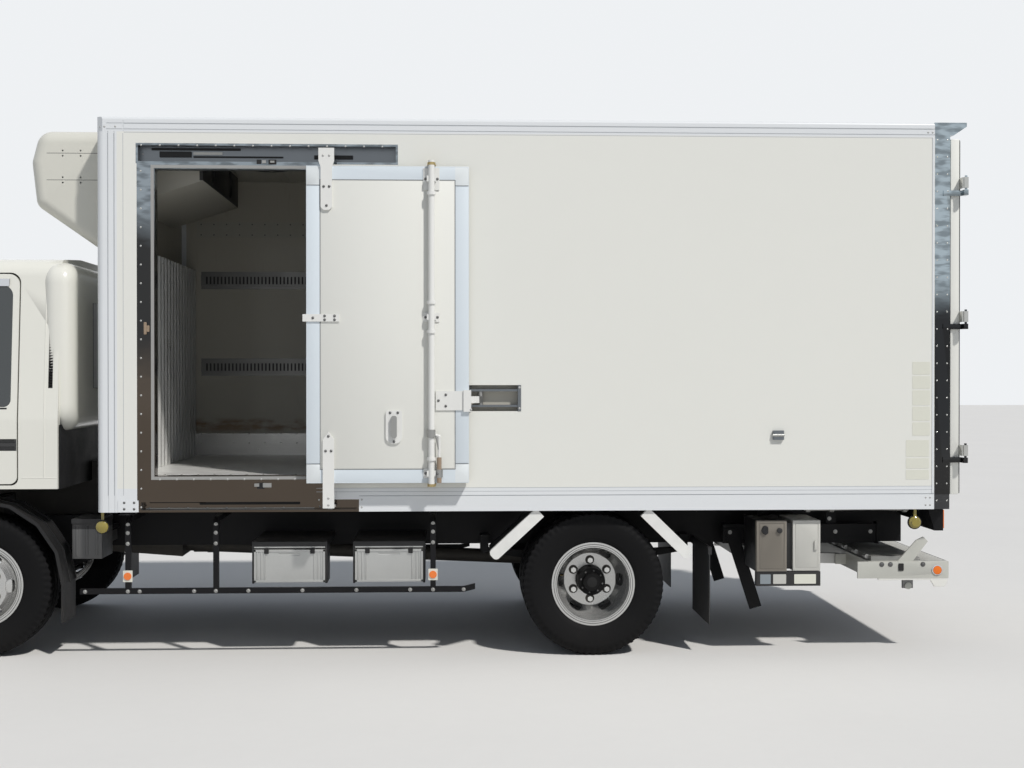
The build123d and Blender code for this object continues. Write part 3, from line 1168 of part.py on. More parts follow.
def cab_door(wall, window):
    """The left door, cut from the cab's wall, with its hinge knuckles. Gives the door and the shell's lugs."""
    door = (wall & door_prism(CAB_DOOR_GAP, CAB_HALF - 200, CAB_HALF + 100)) - window
    lugs = []
    for level in CAB_KNUCKLE_LEVELS:
        axis = Pos(back(CAB_DOOR_AXIS_BACK), CAB_DOOR_AXIS_Y, level)
        inner, outer = CAB_DOOR_AXIS_Y - 5, CAB_DOOR_AXIS_Y + 3
        door -= slab(CAB_DOOR_AXIS_BACK - 14, CAB_DOOR_AXIS_BACK + 14, CAB_HALF - 18, CAB_HALF + 5, level - 36,
                     level + 36)
        door += axis * Cylinder(CAB_KNUCKLE_R, 36)
        door += slab(CAB_DOOR_AXIS_BACK, CAB_DOOR_AXIS_BACK + 16, inner, outer, level - 18, level + 18)
        door -= axis * Cylinder(CAB_PIN_R + FIT, 80)
        lugs.append(slab(CAB_DOOR_FRONT_BACK - 4, CAB_DOOR_AXIS_BACK, inner, outer, level + 20, level + 30))
        lugs.append(axis * Cylinder(CAB_PIN_R, 60))
    return door_handle(door), lugs


def cab_parts():
    """Shell, glass and doors are cut from one hollow form, so that they meet."""
    outer = cab_body(0)
    wall = outer - cab_body(CAB_WALL, rounded=False)
    skin = outer - cab_body(GLASS_T)
    hump_front, wall_rear = CAB_REAR_BACK - 960, CAB_REAR_BACK - CAB_WALL
    hump = slab(hump_front, wall_rear, -HUMP_HALF, HUMP_HALF, CAB_BOTTOM, HUMP_TOP)
    tunnel = slab(hump_front + HUMP_WALL, CAB_REAR_BACK + 10, -HUMP_HALF + HUMP_WALL, HUMP_HALF - HUMP_WALL,
                  CAB_NOSE_BOTTOM - 90, HUMP_TOP - HUMP_WALL)
    pane = CAB_HALF - 140
    screen = slab(CAB_FRONT_BACK - 105, CAB_FRONT_BACK + 535, -pane, pane, WINDOW_BOTTOM, CAB_ROOF - 124)
    rear_light = slab(CAB_REAR_BACK - 130, CAB_REAR_BACK + 70, -520, 520, CAB_WAIST + 170, CAB_ROOF - 254)
    window = side_prism(WINDOW_SHAPE, CAB_HALF - 300, CAB_HALF + 100, [40, 60, 50, 30])
    cut_left = door_prism(0, CAB_HALF - 200, CAB_HALF + 100)
    door_left, lugs = cab_door(wall, window)
    glass_left = skin & window
    vent_space = slab(VENT_FRONT_BACK, VENT_REAR_BACK, CAB_ROOF_HALF, CAB_HALF + 5, VENT_BOTTOM, VENT_TOP)
    vent = vent_space & (outer - cab_body(VENT_DEEP))
    shell = wall + hump - tunnel - screen - rear_light - cut_left - other_side(cut_left) - both_sides(vent)
    for lug in lugs:
        shell += both_sides(lug)
    ear_in, ear_out = FRAME_HALF + 5, FRAME_HALF + 40
    ear = slab(PIVOT_BACK - 26, PIVOT_BACK + 26, ear_in, ear_out, PIVOT_Z, CAB_NOSE_BOTTOM + 10)
    ear += bar(30, (PIVOT_BACK, ear_in, PIVOT_Z), (PIVOT_BACK, ear_out, PIVOT_Z))
    ear -= bar(PIVOT_PIN_R + FIT, (PIVOT_BACK, FRAME_HALF, PIVOT_Z), (PIVOT_BACK, ear_out + 20, PIVOT_Z))
    shell += both_sides(ear)
    glass = (skin & screen) + (skin & rear_light)
    return {"cab_shell": shell, "cab_glass": glass, "cab_door_left": door_left, "cab_door_glass_left": glass_left,
            "cab_door_right": other_side(door_left), "cab_door_glass_right": other_side(glass_left)}


def front_grille():
    """The grille panel with three air slots."""
    half = CAB_HALF - 440
    grille = slab(-FRONT_OVERHANG, CAB_FRONT_BACK, -half, half, CAB_WAIST - 330, CAB_WAIST - 190)
    for level in (CAB_WAIST - 312, CAB_WAIST - 272, CAB_WAIST - 232):
        grille -= slab(-FRONT_OVERHANG - 1, -FRONT_OVERHANG + 8, -half + 40, half - 40, level, level + 22)
    return grille


def headlamps():
    inner, outer = CAB_HALF - 440, CAB_HALF - 175
    lamp = [(inner, 760), (outer, 760), (outer, 900), (inner, 900)]
    return both_sides(end_prism(lamp, -FRONT_OVERHANG, CAB_FRONT_BACK, 30))


def dashboard():
    front = CAB_FRONT_BACK + CAB_WALL
    half = CAB_HALF - 180
    board = side_prism([(front, 1000), (front, 1110), (front + 95, 1190), (front + 165, 1290), (front + 345, 1280),
                        (front + 405, 1180), (front + 345, 1000)], -half, half)
    return board + side_prism([(front + 200, 1280), (front + 330, 1270), (front + 370, 1330), (front + 250, 1370)],
                              -half + 60, -half + 440)


def seats():
    """Two seats, each a plinth, a cushion, a leaning back and a headrest."""
    floor = CAB_BOTTOM + CAB_WALL
    outer = CAB_HALF - 180
    pieces = []
    for y0, y1 in ((-outer, -HUMP_HALF - 20), (HUMP_HALF + 20, outer)):
        pieces.append(slab(-190, 240, y0 + 40, y1 - 40, floor, floor + 235))
        pieces.append(side_prism([(-250, floor + 225), (280, floor + 225), (280, floor + 375), (-250, floor + 375)],
                                 y0, y1, [30, 0, 30, 60]))
        pieces.append(side_prism([(170, floor + 340), (300, floor + 340), (430, floor + 1000), (330, floor + 1000)],
                                 y0 + 10, y1 - 10, [0, 0, 45, 45]))
        middle = (y0 + y1) / 2
        pieces.append(side_prism([(345, floor + 1020), (425, floor + 1020), (440, floor + 1160), (360, floor + 1160)],
                                 middle - 130, middle + 130, 30))
        pieces.append(slab(370, 400, middle - 60, middle + 60, floor + 960, floor + 1060))
    return fused(pieces)


def steering_wheel():
    """Rim, spokes and column, on the right."""
    place = Pos(back(-480), -570, 1500) * Rot(0, -62, 0)
    rim_ring = revolve(Plane.XZ * Pos(210, 0) * RegularPolygon(16, 6), axis=Axis.Z)
    wheel = place * rim_ring + place * Cylinder(60, 30) + place * Box(30, 420, 14)
    return wheel + bar(22, (-480, -570, 1500), (-680, -570, 1240))


def mirrors():
    """A mirror head on a bent arm from each front pillar."""
    inner, outer = CAB_HALF + 80, CAB_HALF + 290
    piece = end_prism([(inner, 1560), (outer, 1560), (outer, 1960), (inner, 1960)], -1060, -1010, 30)
    piece += slab(-950, -905, CAB_HALF, CAB_HALF + 10, 1230, 1310)
    piece += pipe(12, [(-928, CAB_HALF + 8, 1270), (-960, CAB_HALF + 110, 1300), (-1035, CAB_HALF + 180, 1580)])
    return both_sides(piece)


# Tail lift

def lift_rails():
    """Channels under the body that the carriage slides in, with their hangers, end plates and a slanted guard."""
    front, rear = BOX_REAR_BACK - RAIL_FRONT_REACH, BOX_REAR_BACK - RAIL_REAR_REACH
    outer = LIFT_RAIL_Y + LIFT_RAIL_W
    section = [(LIFT_RAIL_Y, LIFT_RAIL_BOTTOM), (outer, LIFT_RAIL_BOTTOM), (outer, LIFT_RAIL_TOP),
               (LIFT_RAIL_Y, LIFT_RAIL_TOP), (LIFT_RAIL_Y, LIFT_RAIL_TOP - LIFT_RAIL_T),
               (outer - LIFT_RAIL_T, LIFT_RAIL_TOP - LIFT_RAIL_T),
               (outer - LIFT_RAIL_T, LIFT_RAIL_BOTTOM + LIFT_RAIL_T), (LIFT_RAIL_Y, LIFT_RAIL_BOTTOM + LIFT_RAIL_T)]
    rails = end_prism(section, front, rear)
    for distance in crosser_fronts()[-3:-1]:
        rails += slab(distance, distance + CROSSER_W, LIFT_RAIL_Y + 20, LIFT_RAIL_Y + 32, LIFT_RAIL_TOP,
                      CROSSER_BOTTOM)
    rails += slab(rear - 1, rear + 11, LIFT_RAIL_Y - 6, outer + 8, LIFT_RAIL_BOTTOM - 6, LIFT_RAIL_TOP + 10)
    rails += side_prism([(front + 4, LIFT_RAIL_TOP - 26), (front + 84, LIFT_RAIL_TOP - 26), (front + 230, 200),
                         (front + 160, 180)], outer - 1, outer + 11)
    return both_sides(rails)


def lift_cabinet():
    """Two cabinets for the lift's pump and controls, over a blank plate."""
    front = WHEELBASE + CABINET_FROM_AXLE
    outer = HALF_BODY - CABINET_IN
    inner = outer - 350
    boxes = slab(front, front + 171, inner, outer, 466, 755)
    boxes += slab(front + 171, front + 209, inner + 20, outer - 30, 480, 740)
    boxes += slab(front + 209, front + 365, inner, outer - 10, 471, 755)
    boxes += slab(front, front + 365, outer - 50, outer - 5, 386, 467)
    boxes += slab(front + 189, front + 349, FRAME_HALF, inner + 1, 700, 740)
    boxes -= ring_slab(front + 14, front + 157, outer - 2, outer + 1, 480, 741, GROOVE_W)
    boxes -= ring_slab(front + 221, front + 353, outer - 12, outer - 9, 484, 742, GROOVE_W)
    for distance in (front + 42, front + 129):
        boxes += bar(15, (distance, outer - 1, 700), (distance, outer + 12, 700))
    return boxes + slab(front + 330, front + 346, outer - 11, outer, 590, 640)


def lift_carriage():
    """Slides in the rails and carries the arms' pins."""
    front = LIFT_PIVOT_BACK - 100
    low, high = LIFT_RAIL_BOTTOM + LIFT_RAIL_T + 0.5, LIFT_RAIL_TOP - LIFT_RAIL_T - 0.5
    piece = slab(front, front + 200, LIFT_RAIL_Y + 2, LIFT_RAIL_Y + LIFT_RAIL_W - 10, low, high)
    piece += slab(front, front + 140, LIFT_RAIL_Y - 25, LIFT_RAIL_Y - 5, LIFT_PIVOT_Z - 50, high)
    piece += slab(front, front + 140, LIFT_RAIL_Y - 6, LIFT_RAIL_Y + 3, low, high)
    piece += bar(LIFT_PIN_R, (LIFT_PIVOT_BACK, LIFT_ARM_Y - 10, LIFT_PIVOT_Z),
                 (LIFT_PIVOT_BACK, LIFT_RAIL_Y - 5, LIFT_PIVOT_Z))
    beam = slab(front, front + 50, -LIFT_RAIL_Y + 6, LIFT_RAIL_Y - 6, LIFT_PIVOT_Z - 30, LIFT_PIVOT_Z + 65)
    return both_sides(piece) + beam


def lift_arms():
    """A pair of arms joined by a tube."""
    ends = ((LIFT_PIVOT_BACK, LIFT_PIVOT_Z), (LIFT_TIP_BACK, LIFT_TIP_Z))
    arm = side_prism([(LIFT_PIVOT_BACK, LIFT_PIVOT_Z - LIFT_ARM_R), (LIFT_TIP_BACK, LIFT_TIP_Z - LIFT_ARM_R),
                      (LIFT_TIP_BACK, LIFT_TIP_Z + LIFT_ARM_R), (LIFT_PIVOT_BACK, LIFT_PIVOT_Z + LIFT_ARM_R)],
                     LIFT_ARM_Y, LIFT_ARM_Y + LIFT_ARM_W)
    for distance, height in ends:
        arm += bar(LIFT_ARM_R, (distance, LIFT_ARM_Y, height), (distance, LIFT_ARM_Y + LIFT_ARM_W, height))
    for distance, height in ends:
        arm -= bar(LIFT_PIN_R + FIT, (distance, LIFT_ARM_Y - 5, height),
                   (distance, LIFT_ARM_Y + LIFT_ARM_W + 5, height))
    middle, level = (LIFT_PIVOT_BACK + LIFT_TIP_BACK) / 2, (LIFT_PIVOT_Z + LIFT_TIP_Z) / 2
    return both_sides(arm) + bar(22, (middle, -LIFT_ARM_Y - 2, level), (middle, LIFT_ARM_Y + 2, level))


def lift_platform():
    """The platform folded under the body, with its folded leaf, side plates, cheeks, brackets and side lamps."""
    front, rear = PLATFORM_FRONT_BACK, PLATFORM_REAR_BACK
    edge = PLATFORM_HALF
    plate = slab(front, rear, -edge, edge, PLATFORM_BOTTOM, PLATFORM_TOP)
    plate += slab(front + 18, rear - 167, -edge + 40, edge - 40, PLATFORM_TOP - 1, PLATFORM_TOP + 26)
    side = slab(front - 70, front + 5, edge - 14, edge, PLATFORM_BOTTOM, PLATFORM_TOP)
    side += side_prism([(rear - 287, PLATFORM_TOP - 1), (rear - 180, PLATFORM_TOP + 118),
                        (rear - 138, PLATFORM_TOP + 138), (rear - 112, PLATFORM_TOP + 112),
                        (rear - 200, PLATFORM_TOP - 1)], edge - 38, edge - 24)
    side += slab(rear - 250, rear - 190, edge - 70, edge - 50, PLATFORM_BOTTOM - 64, PLATFORM_BOTTOM + 1)
    side += bar(20, (rear - 220, edge - 72, PLATFORM_BOTTOM - 50), (rear - 220, edge - 40, PLATFORM_BOTTOM - 50))
    side += bar(24, (rear - 67, edge - 1, PLATFORM_BOTTOM + 46), (rear - 67, edge + 7, PLATFORM_BOTTOM + 46))
    lug_in = LIFT_ARM_Y + LIFT_ARM_W + 2
    low, high = LIFT_TIP_Z - 30, LIFT_TIP_Z + 30
    lug = side_prism([(LIFT_TIP_BACK - 25, low), (front + 5, low), (front + 5, high), (LIFT_TIP_BACK - 25, high)],
                     lug_in, lug_in + 20)
    lug += bar(LIFT_PIN_R, (LIFT_TIP_BACK, LIFT_ARM_Y - 10, LIFT_TIP_Z), (LIFT_TIP_BACK, lug_in + 2, LIFT_TIP_Z))
    return plate + both_sides(side) + both_sides(lug)


def build():
    """Makes every node by name."""
    front_spring = leaf_spring(0, 560, TYRE_R - 20, 520, FRAME_HALF - SPRING_W, 45)
    rear_spring = leaf_spring(WHEELBASE, 600, TYRE_R + 60, 530, FRAME_HALF + SPRING_GAP, 70)
    nodes = {
        "chassis_frame": chassis_frame() + cab_lines(),
        "engine_block": engine_block(),
        "front_axle_beam": front_axle_beam(),
        "tie_rod": tie_rod(),
        "rear_axle": rear_axle() + propeller_shaft(),
        "leaf_springs": both_sides(front_spring) + both_sides(rear_spring),
        "fuel_tank": fuel_tank(),
        "exhaust": exhaust(),
        "side_boxes": battery_box() + storage_boxes(),
        "bumper": bumper(),
        "rear_mudguards": both_sides(mudguard_boards() + rear_flap()),
        "front_mudguards": both_sides(front_mudguard() + cab_step()),
        "side_guards": both_sides(side_guard()),
        "rear_lamp_bar": rear_lamp_bar(),
        "marker_lamps": marker_lamps(),
        "box_subframe": box_subframe(),
        "box_floor": box_floor(),
        "box_wall_left": box_wall(1),
        "box_wall_right": box_wall(-1),
        "box_wall_front": box_wall_front(),
        "box_roof": box_roof(),
        "edge_rails": edge_rails() + skirts(),
        "rear_portal": rear_portal(),
        "door_surround": door_surround() + door_tracks(),
        "sliding_door": sliding_door(),
        "sliding_door_fittings": door_arms() + lock_rod() + release_handle() + rear_arm(),
        "lashing_rails": lashing_rails() + kick_plates(),
        "bulkhead_lining": bulkhead_lining(),
        "evaporator": evaporator(),
        "cooling_unit": cooling_unit(),
        "front_grille": front_grille(),
        "headlamps": headlamps(),
        "cab_interior": dashboard() + steering_wheel(),
        "seats": seats(),
        "mirrors": mirrors(),
        "lift_rails": lift_rails(),
        "lift_cabinet": lift_cabinet(),
        "lift_carriage": lift_carriage(),
        "lift_arms": lift_arms(),
        "lift_platform": lift_platform(),
    }
    nodes.update(cab_parts())
    for side, name in ((1, "left"), (-1, "right")):
        nodes[f"rear_door_{name}"] = rear_door(side)
        nodes[f"rear_door_fittings_{name}"] = rear_door_fittings(side)
        nodes[f"knuckle_{name}"] = knuckle() if side > 0 else other_side(knuckle())
    for axle_x, parts in ((FRONT_AXLE_X, front_wheel()), (REAR_AXLE_X, rear_wheel())):
        for name, piece in parts.items():
            placed = Pos(axle_x, 0, TYRE_R) * piece
            nodes[f"{name}_left"] = placed
            nodes[f"{name}_right"] = other_side(placed)
    return nodes


def main():
    for name, piece in build().items():
        solids = piece.solids()
        export_step(solids[0] if len(solids) == 1 else Compound(children=solids), f"parts/{name}.step")


main()
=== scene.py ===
"""Looks of the refrigerated truck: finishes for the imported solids, and the pieces that only the render has.

Shapes are worked out in millimetres and go into meshes in metres. X runs forward, Y to the side with the
sliding door and Z up. Distances named back are behind the front axle.
"""

import logging
import math
from collections.abc import Sequence
from dataclasses import dataclass, field, replace
from enum import Enum

import bmesh
import bpy
import numpy as np
from mathutils.bvhtree import BVHTree
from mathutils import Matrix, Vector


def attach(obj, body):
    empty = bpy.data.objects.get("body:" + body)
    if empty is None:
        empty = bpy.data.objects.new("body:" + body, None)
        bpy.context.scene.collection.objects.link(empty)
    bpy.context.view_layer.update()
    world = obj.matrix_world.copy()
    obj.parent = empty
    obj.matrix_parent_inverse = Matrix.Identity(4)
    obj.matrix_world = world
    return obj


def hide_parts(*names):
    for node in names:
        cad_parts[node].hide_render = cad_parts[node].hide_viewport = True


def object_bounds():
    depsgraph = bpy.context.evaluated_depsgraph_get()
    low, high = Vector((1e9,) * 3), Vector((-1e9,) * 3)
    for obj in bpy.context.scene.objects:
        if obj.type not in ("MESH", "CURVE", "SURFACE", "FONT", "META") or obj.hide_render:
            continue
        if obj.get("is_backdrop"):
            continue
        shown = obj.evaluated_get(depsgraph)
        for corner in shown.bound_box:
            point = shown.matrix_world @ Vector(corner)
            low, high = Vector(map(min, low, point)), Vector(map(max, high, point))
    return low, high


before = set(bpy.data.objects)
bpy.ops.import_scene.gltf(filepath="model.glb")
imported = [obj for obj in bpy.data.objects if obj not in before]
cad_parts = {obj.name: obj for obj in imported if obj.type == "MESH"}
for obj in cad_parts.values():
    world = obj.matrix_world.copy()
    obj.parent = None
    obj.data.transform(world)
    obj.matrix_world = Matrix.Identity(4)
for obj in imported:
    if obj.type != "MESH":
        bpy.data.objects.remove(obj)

LOG = logging.getLogger("truck")
MM = 0.001
FRONT_AXLE_X = 2210.0
WHEELBASE = 3430.0
AXLE_Z = 400.0
HALF_BODY = 1100.0
SLIDER_FACE = 1193.0
LASHING_FACE = 1012.6
SMOOTH_ANGLE = math.radians(35)
SOFT_ANGLE = math.radians(50)
PACKED_ANGLE = math.radians(28)
WELD = 0.00002
SIDES = ((1, "left"), (-1, "right"))
Span = tuple[float, float]
Rows = Sequence[Sequence[float]]
Triple = tuple[float, float, float]
Socket = bpy.types.NodeSocket
Piece = bpy.types.Object


def at(back: float) -> float:
    """Returns the X of a place a distance behind the front axle."""
    return FRONT_AXLE_X - back


def spots(backs: Sequence[float], heights: Sequence[float]) -> list[Span]:
    """Returns the (x, z) of each distance back at each height."""
    return [(at(back), height) for back in backs for height in heights]


def line(first: float, last: float, pitch: float) -> np.ndarray:
    """Returns evenly spaced values from the first to the last, as near the pitch as whole steps allow."""
    return np.linspace(first, last, max(int(round(abs(last - first) / pitch)), 1) + 1)


class Face(Enum):
    """The plane that an outline is drawn in, with the axis that it is given depth along."""

    SIDE = (0, 2, 1)
    END = (1, 2, 0)
    PLAN = (0, 1, 2)


@dataclass
class Shape:
    """Points in millimetres, and faces as arrays of one row a face, one array for each number of corners."""

    points: np.ndarray
    faces: list[np.ndarray] = field(default_factory=list)

    def __add__(self, other: "Shape") -> "Shape":
        """Returns both shapes as one."""
        count = len(self.points)
        return Shape(np.vstack([self.points, other.points]),
                     self.faces + [rows + count for rows in other.faces])

    def moved(self, x: float = 0.0, y: float = 0.0, z: float = 0.0) -> "Shape":
        """Returns the shape moved along the axes."""
        return Shape(self.points + np.array([x, y, z]), self.faces)

    def turned(self, angle: float, axis: int, about: Sequence[float] = (0.0, 0.0, 0.0)) -> "Shape":
        """Turns the shape about one axis.

        Args:
            angle: Degrees, by the right hand rule.
            axis: 0, 1 or 2 for X, Y or Z.
            about: A point on the axis.

        Returns:
            The turned shape.
        """
        c, s = math.cos(math.radians(angle)), math.sin(math.radians(angle))
        i, j = (axis + 1) % 3, (axis + 2) % 3
        matrix = np.eye(3)
        matrix[i, i], matrix[i, j], matrix[j, i], matrix[j, j] = c, -s, s, c
        centre = np.array(about, float)
        return Shape((self.points - centre) @ matrix.T + centre, self.faces)

    def mirrored(self) -> "Shape":
        """Returns the same shape on the other side of the truck."""
        return Shape(self.points * np.array([1.0, -1.0, 1.0]), [rows[:, ::-1] for rows in self.faces])

    def both(self) -> "Shape":
        """Returns the shape and its mirror image."""
        return self + self.mirrored()

    def copies(self, places: Rows) -> "Shape":
        """Sets a copy of the shape at each place, added to the points as an array.

        Args:
            places: Their (x, y, z) offsets.

        Returns:
            The copies as one shape.
        """
        offsets = np.asarray(places, float).reshape(-1, 3)
        points = (self.points[None, :, :] + offsets[:, None, :]).reshape(-1, 3)
        steps = np.arange(len(offsets))[:, None, None] * len(self.points)
        return Shape(points, [(rows[None] + steps).reshape(-1, rows.shape[1]) for rows in self.faces])


def joined(shapes: Sequence[Shape]) -> Shape:
    """Returns several shapes as one."""
    return sum(shapes[1:], shapes[0])


def grid(points: np.ndarray, close_u: bool = False, close_v: bool = False, caps: bool = False) -> Shape:
    """Makes a surface of four-cornered faces over a grid of points.

    Args:
        points: An array (rows u, columns v, 3).
        close_u: Whether the last row meets the first.
        close_v: Whether the last column meets the first.
        caps: Whether the first and last rows, each a closed loop, are filled by one face.

    Returns:
        The surface.
    """
    rows, columns = points.shape[:2]
    index = np.arange(rows * columns).reshape(rows, columns)
    if close_u:
        index = np.vstack([index, index[:1]])
    if close_v:
        index = np.hstack([index, index[:, :1]])
    quads = np.stack([index[:-1, :-1], index[:-1, 1:], index[1:, 1:], index[1:, :-1]], -1).reshape(-1, 4)
    faces = [quads]
    if caps:
        loop = np.arange(rows * columns).reshape(rows, columns)
        faces += [loop[:1, ::-1], loop[-1:]]
    return Shape(points.reshape(-1, 3).astype(float), faces)


def rounded(corners: Rows, radius: float | Sequence[float], steps: int = 5) -> np.ndarray:
    """Rounds the corners of a flat outline: each corner becomes an arc that touches both of its sides.

    Args:
        corners: The (u, v) corners.
        radius: One radius, or one for each corner.
        steps: Points on each arc.

    Returns:
        The outline's points, an array (n, 2).
    """
    p = np.asarray(corners, float)
    r = np.maximum(np.broadcast_to(np.asarray(radius, float), len(p)), 0.05)[:, None]
    a = np.roll(p, 1, 0) - p
    b = np.roll(p, -1, 0) - p
    a /= np.linalg.norm(a, axis=1, keepdims=True)
    b /= np.linalg.norm(b, axis=1, keepdims=True)
    half = np.arccos(np.clip((a * b).sum(1, keepdims=True), -0.9999, 0.9999)) / 2
    middle = (a + b) / np.linalg.norm(a + b, axis=1, keepdims=True)
    centre = p + middle * r / np.sin(half)
    first = p + a * r / np.tan(half) - centre
    last = p + b * r / np.tan(half) - centre
    sweep = (math.pi - 2 * half)[:, None, :]
    t = np.linspace(0, 1, steps)[None, :, None]
    arc = (np.sin((1 - t) * sweep) * first[:, None, :] + np.sin(t * sweep) * last[:, None, :]) / np.sin(sweep)
    return (centre[:, None, :] + arc).reshape(-1, 2)


def box(u0: float, u1: float, v0: float, v1: float) -> list[Span]:
    """Returns the corners of a rectangle."""
    return [(u0, v0), (u1, v0), (u1, v1), (u0, v1)]


def drawn_in(outline: np.ndarray, inset: float) -> np.ndarray:
    """Moves each side of an outline inwards by an inset: points go along the mean of their two normals.

    Args:
        outline: Its points (n, 2).
        inset: How far they move.

    Returns:
        The smaller outline.
    """
    before = outline - np.roll(outline, 1, 0)
    after = np.roll(outline, -1, 0) - outline
    area = (outline[:, 0] * np.roll(outline[:, 1], -1) - np.roll(outline[:, 0], -1) * outline[:, 1]).sum()
    sign = 1.0 if area > 0 else -1.0
    normals = [np.stack([-run[:, 1], run[:, 0]], 1) / np.linalg.norm(run, axis=1, keepdims=True) * sign
               for run in (before, after)]
    total = normals[0] + normals[1]
    return outline + total * inset / np.maximum(1 + (normals[0] * normals[1]).sum(1, keepdims=True), 0.3)


def stacked(outline: np.ndarray, insets: Sequence[float], levels: Sequence[float], face: Face) -> Shape:
    """Stacks rings into a closed plate, with a face on each end.

    Args:
        outline: Points (n, 2) in the face's plane.
        insets: How far each ring is drawn in from the outline.
        levels: Where each ring is along the depth axis.
        face: The plane of the outline.

    Returns:
        The plate.
    """
    points = np.empty((len(levels), len(outline), 3))
    u, v, w = face.value
    for row, (inset, level) in enumerate(zip(insets, levels)):
        ring = drawn_in(outline, inset) if inset else outline
        points[row, :, u], points[row, :, v], points[row, :, w] = ring[:, 0], ring[:, 1], level
    return grid(points, close_v=True, caps=True)


def plate(outline: np.ndarray, low: float, high: float, face: Face, edge: float = 1.5) -> Shape:
    """Gives an outline depth from low to high, with its edges bevelled by the width edge."""
    bevel = min(edge, (high - low) / 2.5)
    return stacked(outline, (bevel, 0, 0, bevel), (low, low + bevel, high - bevel, high), face)


def soft_plate(outline: np.ndarray, low: float, high: float, face: Face, radius: float,
               steps: int = 5) -> Shape:
    """Gives an outline depth with its edges rounded: at each end the inset falls and the level rises by a
    quarter circle.

    Args:
        outline: Points (n, 2) in the face's plane.
        low: Where it starts along the depth axis.
        high: Where it ends.
        face: The plane of the outline.
        radius: Radius of the rounding.
        steps: Rings in each rounding.

    Returns:
        The closed plate.
    """
    t = np.linspace(0, math.pi / 2, steps)
    insets = radius * (1 - np.sin(t))
    rises = radius * (1 - np.cos(t))
    levels = np.concatenate([low + rises, high - rises[::-1]])
    return stacked(outline, np.concatenate([insets, insets[::-1]]), levels, face)


def block(x: Span, y: Span, z: Span, corner: float = 3.0, edge: float = 1.5, face: Face = Face.SIDE) -> Shape:
    """Makes a bevelled block with rounded corners between two x, two y and two z values.

    Args:
        x: Its limits along the truck.
        y: Its limits across.
        z: Its lower and upper limit.
        corner: Radius of the corners in the face's plane.
        edge: Width of the bevel.
        face: The plane that the outline lies in.

    Returns:
        The block.
    """
    spans = (sorted(x), sorted(y), sorted(z))
    u, v, w = face.value
    (u0, u1), (v0, v1), (w0, w1) = spans[u], spans[v], spans[w]
    radius = min(corner, (u1 - u0) / 2.2, (v1 - v0) / 2.2)
    return plate(rounded(box(u0, u1, v0, v1), radius, 3), w0, w1, face, edge)


def bar(backs: Span, y: Span, z: Span, corner: float = 3.0, edge: float = 1.5,
        face: Face = Face.SIDE) -> Shape:
    """Makes a block between two distances back, two y and two z values."""
    return block((at(backs[0]), at(backs[1])), y, z, corner, edge, face)


def lathe(profile: Rows, centre: Sequence[float], axis: int = 1, steps: int = 64,
          closed: bool = False) -> Shape:
    """Turns a profile about an axis: each (radius, along) point becomes a ring.

    Args:
        profile: (radius, distance along the axis) points; a radius of 0 becomes a closed end.
        centre: The point that the profile is measured from.
        axis: 0, 1 or 2.
        steps: Points round each ring.
        closed: Whether the profile's last point meets its first.

    Returns:
        The turned surface, with a face over each open end.
    """
    section = np.asarray(profile, float)
    angle = np.linspace(0, 2 * math.pi, steps, endpoint=False)
    points = np.empty((len(section), steps, 3))
    i, j = (axis + 1) % 3, (axis + 2) % 3
    points[:, :, i] = section[:, :1] * np.cos(angle)
    points[:, :, j] = section[:, :1] * np.sin(angle)
    points[:, :, axis] = section[:, 1:]
    points += np.asarray(centre, float)
    return grid(points, close_u=closed, close_v=True, caps=not closed)


def lathes(profile: Rows, centres: Rows, axis: int, steps: int) -> Shape:
    """Turns one profile about an axis through each of several points."""
    return joined([lathe(profile, centre, axis, steps) for centre in centres])


def tube(path: Rows, radius: float, sides: int = 12, bend: float = 0.0,
         steps: int = 6) -> Shape:
    """Carries a circle along a path whose corners are rounded by quadratic arcs.

    Args:
        path: (x, y, z) corners.
        radius: Radius of the tube.
        sides: Points round it.
        bend: How far from each corner its arc starts.
        steps: Points on each arc.

    Returns:
        The closed tube.
    """
    p = np.asarray(path, float)
    if bend > 0 and len(p) > 2:
        runs = np.diff(p, axis=0)
        lengths = np.linalg.norm(runs, axis=1)
        reach = np.minimum(bend, np.minimum(lengths[:-1], lengths[1:]) * 0.45)[:, None]
        ways = runs / lengths[:, None]
        start, end, corner = p[1:-1] - ways[:-1] * reach, p[1:-1] + ways[1:] * reach, p[1:-1]
        t = np.linspace(0, 1, steps)[None, :, None]
        arcs = (1 - t) ** 2 * start[:, None] + 2 * t * (1 - t) * corner[:, None] + t ** 2 * end[:, None]
        p = np.vstack([p[:1], arcs.reshape(-1, 3), p[-1:]])
    way = np.gradient(p, axis=0)
    way /= np.linalg.norm(way, axis=1, keepdims=True)
    guide = np.array([0.0, 0.0, 1.0]) if abs(way[:, 2]).max() < 0.95 else np.array([0.31, 0.95, 0.03])
    across = np.cross(way, guide)
    across /= np.linalg.norm(across, axis=1, keepdims=True)
    other = np.cross(across, way)
    angle = np.linspace(0, 2 * math.pi, sides, endpoint=False)
    ring = np.cos(angle)[None, :, None] * across[:, None] + np.sin(angle)[None, :, None] * other[:, None]
    return grid(p[:, None] + radius * ring, close_v=True, caps=True)


def head(radius: float, height: float, axis: int = 1, sign: int = 1, sides: int = 10) -> Shape:
    """Makes a low domed rivet or screw head standing on the origin, along one axis."""
    profile = [(radius, -0.5 * sign), (radius, 0.3 * height * sign), (radius * 0.8, 0.75 * height * sign),
               (radius * 0.4, height * sign)]
    return lathe(profile, (0, 0, 0), axis, sides)


